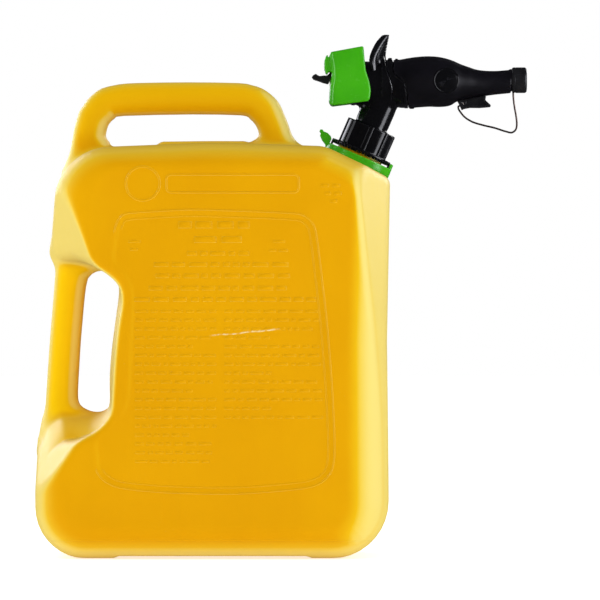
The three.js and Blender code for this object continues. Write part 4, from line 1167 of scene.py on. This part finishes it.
def lock_ring(x, y, along):
    """the ring on the can round the collar, with a post in front and a notch at the rear"""
    radial = np.hypot(x, y)
    wall = within(radial, RING_INNER_R, RING_OUTER_R)
    rim = meet(wall, within(along, -6, 7.6), 0.7)
    web = meet(within(radial, 20.7, RING_OUTER_R), within(along, -6, 4.2), 0.7)
    post = meet(wall, np.maximum(np.maximum(np.abs(y) - 7.5, within(along, 3, 12)), -x), 0.8)
    shape = join(join(rim, web, 0.5), post, 0.6)
    place = from_neck(np.c_[x, y, along])
    shape = meet(shape, 0.4 - outline_field(place[:, 0], place[:, 2], CAN_OUTLINE), 0.5)
    return cut(shape, box(x, y, along, (-42, -7, -12), (-27.4, 7, 22)), 0.5)


piece("lock_ring_skin", lock_ring, (-32, -32, -6.5), (32, 32, 13.5), 0.62, "green_plastic", "can",
      "lock_ring", place=from_neck)

# (x, height along the neck, corner radius)
LEVER = rounded_profile([
    (-27.95, 3.3, 0.3), (-30.3, 3.3, 0.3), (-31.0, 5.0, 0.8), (-35.0, 7.2, 1.2),
    (-38.4, 10.4, 0.8), (-38.2, 12.2, 0.4), (-40.2, 13.4, 0.5), (-40.2, 15.2, 0.6),
    (-38.2, 15.9, 0.6), (-36.8, 14.8, 0.6), (-33.0, 14.9, 1.2), (-29.4, 13.4, 0.9),
    (-27.95, 11.6, 0.5)], 3)


def lever(x, y, along):
    shape = extruded(outline_field(x, along, LEVER), y, half=6.5, edge=0.7)
    grooves = creases(x + 0.3 * along, pitch=2.4, width=0.45)
    return shape + 0.21 * grooves * (x < -31.5) * (np.abs(y) < 5.3)


piece("release_lever_skin", lever, (-41.5, -8, 1.5), (-26, 8, 17), 0.42, "green_plastic",
      "lock_lever", "release_lever", place=from_neck)


# ---------------------------------------------------------------- wire and springs
def open_curve(points, steps):
    """a smooth open curve through unevenly spaced points"""
    points = np.array(points, float)
    points = np.concatenate([[2 * points[0] - points[1]], points, [2 * points[-1] - points[-2]]])
    gaps = np.sqrt(np.linalg.norm(np.diff(points, axis=0), axis=1))
    knots = np.concatenate([[0], np.cumsum(gaps)])

    def between(first, last, start, end, t):
        return (end - t) / (end - start) * first + (t - start) / (end - start) * last

    curve = []
    for i in range(1, len(points) - 2):
        t0, t1, t2, t3 = knots[i - 1:i + 3]
        for k in range(steps if i < len(points) - 3 else steps + 1):
            t = t1 + (t2 - t1) * k / steps
            a1 = between(points[i - 1], points[i], t0, t1, t)
            a2 = between(points[i], points[i + 1], t1, t2, t)
            a3 = between(points[i + 1], points[i + 2], t2, t3, t)
            b1, b2 = between(a1, a2, t0, t2, t), between(a2, a3, t1, t3, t)
            curve.append(between(b1, b2, t1, t2, t))
    return np.array(curve)


def make_tube(name, path, radius, sides, slot, body, replaces):
    path = np.array(path, float)
    tangents = np.gradient(path, axis=0)
    tangents /= np.linalg.norm(tangents, axis=1, keepdims=True)
    normal = np.cross(tangents[0], (0.3, 1, 0.2))
    normal /= np.linalg.norm(normal)
    points = []
    for centre, tangent in zip(path, tangents):
        normal = normal - tangent * (normal @ tangent)
        normal /= np.linalg.norm(normal)
        across = np.cross(tangent, normal)
        for j in range(sides):
            angle = 2 * math.pi * j / sides
            points.append(centre + radius * (math.cos(angle) * normal + math.sin(angle) * across))
    faces = [tuple(quad) for quad in grid_faces(len(path), sides)]
    first, last, end = len(points), len(points) + 1, (len(path) - 1) * sides
    points += [path[0] - tangents[0] * radius * 0.5, path[-1] + tangents[-1] * radius * 0.5]
    for j in range(sides):
        k = (j + 1) % sides
        faces += [(first, k, j), (last, end + j, end + k)]
    return make(name, points, faces, slot, body, replaces=replaces)


def coil(turns, steps):
    """stations of a coil: (share of its length, cosine, sine)"""
    for i in range(turns * steps + 1):
        share = i / (turns * steps)
        angle = 2 * math.pi * turns * share
        yield share, math.cos(angle), math.sin(angle)


def closed_end(share):
    """draws the coils together at a spring's ends"""
    end = 0.1
    if share <= end:
        return end * (share / end) ** 1.6
    if share >= 1 - end:
        return 1 - end * ((1 - share) / end) ** 1.6
    return share


# from the hook round and forward under the nozzle, then up into its tip
WIRE_PATH = open_curve([
    (216.8, -3.6, 390.8), (216.8, 0, 390.8), (216.8, 5, 390.8), (216.2, 6.6, 390.4),
    (214.8, 6.6, 389.4), (213.1, 5.2, 388.4), (212.9, 3, 387.2), (213.4, 0.9, 385.5),
    (214.9, 0, 383.2), (218.2, 0, 379.3), (224.7, 0, 375.1), (235, 0, 371.9), (244.3, 0, 369.7),
    (253.7, 0, 366.7), (259.2, 0, 365.7), (262.5, 0, 368.1), (263.5, 0, 372.3), (262.9, 0, 379.8),
    (261.6, 0, 387.3), (260.7, 0, 394), (260.3, 0, 400.6)], 8)
make_tube("wire_spring_fine", WIRE_PATH, 0.82, 14, "wire_steel", "wire", "wire_spring")

return_coil = [(108.0 + 18 * closed_end(share), 7.6 * cosine, VALVE_Z + 7.6 * sine)
               for share, cosine, sine in coil(turns=5, steps=40)]
return_spring = make_tube("return_spring_fine", return_coil, 0.6, 10, "spring_steel", "spout",
                          "return_spring")
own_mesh(return_spring)

latch_coil = [(HINGE_X + 1.9 * cosine, -2.3 + 4.6 * share, HINGE_Z + 1.9 * sine)
              for share, cosine, sine in coil(turns=4, steps=28)]
make_tube("latch_spring_fine", latch_coil, 0.3, 8, "spring_steel", "button", "latch_spring")


# ---------------------------------------------------------------- blank relief on both side faces
class Relief:
    """low bars and rings on the side faces, gathered into one mesh for each side"""

    def __init__(self):
        self.stations, self.faces = [], []     # stations are (x, z, height over the face)

    def sweep(self, path, width, height, closed=False):
        """a low bevelled bar along a side-view path, its open ends sunk and narrowed"""
        path = np.array(path, float)
        count = len(path)
        if closed:
            tangents = np.roll(path, -1, 0) - np.roll(path, 1, 0)
        else:
            tangents = np.gradient(path, axis=0)
        tangents /= np.linalg.norm(tangents, axis=1, keepdims=True)
        bevel, half = min(0.5, width * 0.22), width / 2
        section = [(-half, -0.7), (-half + bevel * 0.15, height * 0.35), (-half + bevel, height),
                   (0, height * 1.05), (half - bevel, height),
                   (half - bevel * 0.15, height * 0.35), (half, -0.7)]
        size, first = len(section), len(self.stations)
        for i, ((x, z), (run, rise)) in enumerate(zip(path, tangents)):
            sunk = not closed and i in (0, count - 1)
            for off, level in section:
                off *= 0.72 if sunk else 1
                self.stations.append((x - rise * off, z + run * off, -0.5 if sunk else level))
        for i in range(count if closed else count - 1):
            for j in range(size - 1):
                here, ahead = first + i * size + j, first + ((i + 1) % count) * size + j
                self.faces.append((here, here + 1, ahead + 1, ahead))

    def bar(self, start, end, z, width, height):
        count = max(2, int(math.ceil((end - start) / 7)))
        inner = [start + 0.35 + (end - start - 0.7) * i / count for i in range(1, count)]
        self.sweep([(x, z) for x in [start, start + 0.35] + inner + [end - 0.35, end]],
                   width, height)

    def words(self, start, end, z, tall, shortest, longest, gap, height):
        """a row of bars of random lengths"""
        while start < end - shortest:
            length = min(end - start, shortest + (longest - shortest) * random.rand())
            self.bar(start, start + length, z, tall, height)
            start += length + gap * (0.8 + 0.5 * random.rand())

    def build(self, name, side):
        x, z, height = np.array(self.stations).T
        points = np.c_[x, side * (side_y(x, z) + height), z]
        made = make(name, points, np.array(self.faces), "yellow_hdpe", "can")
        add_attribute(made, "panel_mm", np.full(len(points), 30.0))
        add_attribute(made, "raised", np.ones(len(points)))


# bar lengths, gaps between bars and height over the face, by kind of row
HEADING = dict(shortest=10.00138, longest=20.00275, gap=3.33379, height=0.567)
LABEL = dict(tall=2.16696, shortest=5.83414, longest=11.66827, gap=2.50034, height=0.405)
LARGE = dict(tall=3.66717, shortest=5.00069, longest=15.83551, gap=2.66703, height=0.486)
SMALL = dict(tall=2.25031, shortest=3.33379, longest=11.66827, gap=2.16696, height=0.378)
CORNER = dict(tall=2.83372, shortest=4.16724, longest=7.50103, gap=2.16696, height=0.351)
# start x, end x, z; headings also have their own height of letter
HEADING_ROWS = ((-27.55293, 46.62394, 284.6198, 5.83414), (-14.21776, 34.95567, 272.1181, 5.41741))
LABEL_ROWS = ((-70.05878, -51.72292, 270.4512), (-68.39188, -54.22326, 263.7836),
              (49.95774, 69.12704, 262.9501), (53.29153, 65.79325, 270.4512))
LARGE_ROWS = ((-20.05190, 37.45602, 260.4498), (-48.38913, 69.96049, 250.8651),
              (-46.72223, 67.46014, 241.2805), (-52.55637, 68.29359, 230.8624),
              (-65.05809, 91.63014, 221.2777))
CORNER_ROWS = ((93.29703, 115.80013, 317.9577), (96.63082, 114.13323, 311.2901),
               (101.63151, 113.29978, 304.6225))
SMALL_TOP, SMALL_PITCH = 211.2764, 7.501032


def small_rows(relief):
    """two columns of small rows, some of them short"""
    for i in range(18):
        z = SMALL_TOP - i * SMALL_PITCH
        relief.words(-64.22464, 4.95154 if i % 5 != 4 else -15.05121, z, **SMALL)
        if i < 13:
            end = 91.63014 + i * 0.3333792 if i % 4 != 3 else 51.62463
            relief.words(11.61913, end, z, **SMALL)


def ring_and_frame(relief):
    """the ring and the rounded frame above the panel"""
    relief.sweep([(-57.5571 + 14.4 * math.cos(angle), 319.6246 + 14.4 * math.sin(angle))
                  for angle in np.arange(48) * 2 * math.pi / 48], 1.7, 0.56, closed=True)
    left, right, low, high = -37.5543, 74.9612, 312.1236, 327.1256
    outline = rounded_profile([(left, low, 4), (right, low, 4), (right, high, 4),
                               (left, high, 4)], 5)
    path = []
    for start, end in zip(outline, np.roll(outline, -1, 0)):
        count = max(1, int(np.linalg.norm(end - start) / 6))
        path += [start + (end - start) * i / count for i in range(count)]
    relief.sweep(path, 1.5, 0.56, closed=True)


def border_lines(relief):
    """the panel's border line and a lower one inside it"""
    spacing, middle = 5.4208, np.array([-3.3568, 171.6416])
    border = catmull(BORDER, 3)[5:-10]
    tangent = border[2:] - border[:-2]
    normal = np.c_[-tangent[:, 1], tangent[:, 0]] / np.linalg.norm(tangent, axis=1, keepdims=True)
    normal[(normal * (middle - border[1:-1])).sum(1) < 0] *= -1
    for line, height in ((border, 0.52), (border[1:-1] + normal * spacing, 0.40)):
        relief.sweep(line, 1.25, height)


random = np.random.RandomState(11)
relief = Relief()
ring_and_frame(relief)
for rows, style in ((HEADING_ROWS, HEADING), (LABEL_ROWS, LABEL), (LARGE_ROWS, LARGE)):
    for row in rows:
        relief.words(*row, **style)
small_rows(relief)
for row in CORNER_ROWS:
    relief.words(*row, **CORNER)
border_lines(relief)
relief.build("relief_near", -1)
relief.build("relief_far", 1)

# the yellow stays out of the black parts' reflections, so that they keep clean
for name in ("can_body", "can_neck", "can_neck_thread", "relief_near", "relief_far"):
    bpy.data.objects[name].visible_glossy = False

# ---------------------------------------------------------------- camera, floor and light (metres)
scene = bpy.context.scene
scene.view_settings.view_transform = "Standard"
scene.view_settings.look = "None"

CAMERA_DISTANCE = 6.0
VIEW_WIDTH = 0.5192      # seen at the can's middle plane
SENSOR = 36
LAVENDER = (0.92, 0.93, 1.0)


def camera():
    lens = bpy.data.cameras.new("camera")
    lens.sensor_width = SENSOR
    lens.lens = SENSOR * CAMERA_DISTANCE / VIEW_WIDTH
    lens.clip_end = 40
    made = bpy.data.objects.new("camera", lens)
    scene.collection.objects.link(made)
    made.location = ((75.9 - MIDDLE) / 1000, -CAMERA_DISTANCE, 0.2208)
    made.rotation_euler = (math.pi / 2, 0, 0)
    scene.camera = made


def studio():
    """white to the camera, an even soft light on matt surfaces, and nearly dark in reflections,
    so that the black plastic shows only the softboxes"""
    world = bpy.data.worlds.new("studio")
    scene.world = world
    world.use_nodes = True
    world.node_tree.nodes.clear()
    nodes = Nodes(world.node_tree)

    def background(colour, strength):
        return nodes.node("ShaderNodeBackground", colour, strength).outputs[0]

    way = nodes.node("ShaderNodeTexCoord").outputs["Generated"]
    height = nodes.node("ShaderNodeSeparateXYZ", way).outputs["Z"]
    lift = nodes.remap(height, over=(-0.5, 0.8), to=(0.25, 0.60), smooth=True)
    soft = background((1, 1, 1, 1), strength=lift)
    white = background((1, 1, 1, 1), strength=1.0)
    dark = background((0.86, 0.88, 1.0, 1), strength=0.055)
    ray = nodes.node("ShaderNodeLightPath").outputs
    shade = nodes.node("ShaderNodeMixShader", ray["Is Glossy Ray"], soft, dark).outputs[0]
    shade = nodes.node("ShaderNodeMixShader", ray["Is Camera Ray"], shade, white).outputs[0]
    nodes.node("ShaderNodeOutputWorld", shade)
    world.cycles.sampling_method = "NONE"


def area(name, place, target, size, power, colour=(1, 1, 1), glossy=True, diffuse=True, only=()):
    """a softbox aimed at a target; only names the pieces it lights, when not all"""
    light = bpy.data.lights.new(name, "AREA")
    light.shape = "RECTANGLE"
    light.size, light.size_y = size
    light.energy = power
    light.color = colour
    made = bpy.data.objects.new(name, light)
    scene.collection.objects.link(made)
    made.location = place
    made.rotation_euler = (Vector(target) - Vector(place)).to_track_quat("-Z", "Y").to_euler()
    made.visible_glossy = glossy
    made.visible_diffuse = diffuse
    made.visible_camera = False
    if only:
        lit = bpy.data.collections.new(name + "_pieces")
        for piece_name in only:
            lit.objects.link(bpy.data.objects[piece_name])
        made.light_linking.receiver_collection = lit


def lights():
    area("key", place=(-1.1, -2.1, 1.5), target=(0, 0, 0.22), size=(0.8, 0.8), power=12.0,
         glossy=False)
    area("front", place=(0.5, -2.6, 0.5), target=(0, 0, 0.22), size=(1.6, 1.2), power=4.6,
         glossy=False)
    area("right_box", place=(1.45, -0.42, 0.42), target=(0.05, 0, 0.34), size=(0.62, 1.4),
         power=8, colour=LAVENDER)
    area("left_box", place=(-1.45, 0.05, 0.42), target=(0, 0, 0.32), size=(0.40, 1.4),
         power=4.5, colour=LAVENDER)
    area("right_strip", place=(1.5, -0.42, 0.42), target=(0.05, 0, 0.34), size=(0.75, 1.5),
         power=22, colour=LAVENDER, diffuse=False)
    area("shield_sheen", place=(1.0, -0.85, 0.46), target=(0.09, 0, 0.43), size=(1.0, 0.8),
         power=40, colour=LAVENDER, diffuse=False, only=("finger_guard_skin",))
    area("nozzle_sheen", place=(1.0, -0.85, 0.46), target=(0.14, 0, 0.41), size=(0.5, 0.8),
         power=3, colour=LAVENDER, diffuse=False, only=("nozzle_skin", "nozzle_tip_skin"))
    area("button_strip", place=(-1.1, -0.95, 0.42), target=(0.06, 0, 0.41), size=(0.16, 1.0),
         power=8, diffuse=False, only=("pour_button_skin", "lock_ring_skin"))
    area("back_left", place=(-0.9, 1.2, 0.75), target=(0, 0, 0.3), size=(0.7, 0.9), power=7.5,
         colour=LAVENDER)
    area("far_right", place=(1.1, 1.5, 0.9), target=(0, 0, 0.3), size=(0.7, 0.9), power=7.5)


def floor_material():
    """bright to the camera, so that the floor runs into the white, and less bright as a lamp"""
    made, nodes, shader = material("pale_floor")
    ray = nodes.node("ShaderNodeLightPath").outputs["Is Camera Ray"]
    nodes.fill(shader, {
        "Base Color": (0.93, 0.93, 0.93, 1), "Roughness": 0.9, "Specular IOR Level": 0.1,
        "Emission Color": (1, 1, 1, 1),
        "Emission Strength": nodes.remap(ray, over=(0, 1), to=(0.36, 0.60))})
    return made


def floor():
    """one flat round sheet that runs out beyond every camera"""
    radii, sides = (0.8, 2.0, 4.0, 8.0, 14.0), 64
    points = [(radius * math.cos(TURN * k / sides), radius * math.sin(TURN * k / sides), 0.0)
              for radius in radii for k in range(sides)]
    centre = len(points)
    points.append((0, 0, 0))
    faces = [(centre, k, (k + 1) % sides) for k in range(sides)]
    for i in range(len(radii) - 1):
        here, ahead = i * sides, (i + 1) * sides
        for k in range(sides):
            after = (k + 1) % sides
            faces.append((here + k, ahead + k, ahead + after, here + after))
    mesh = bpy.data.meshes.new("floor")
    mesh.from_pydata(points, [], faces)
    mesh.materials.append(floor_material())
    made = bpy.data.objects.new("floor", mesh)
    scene.collection.objects.link(made)
    made.visible_glossy = False


camera()
studio()
lights()
floor()
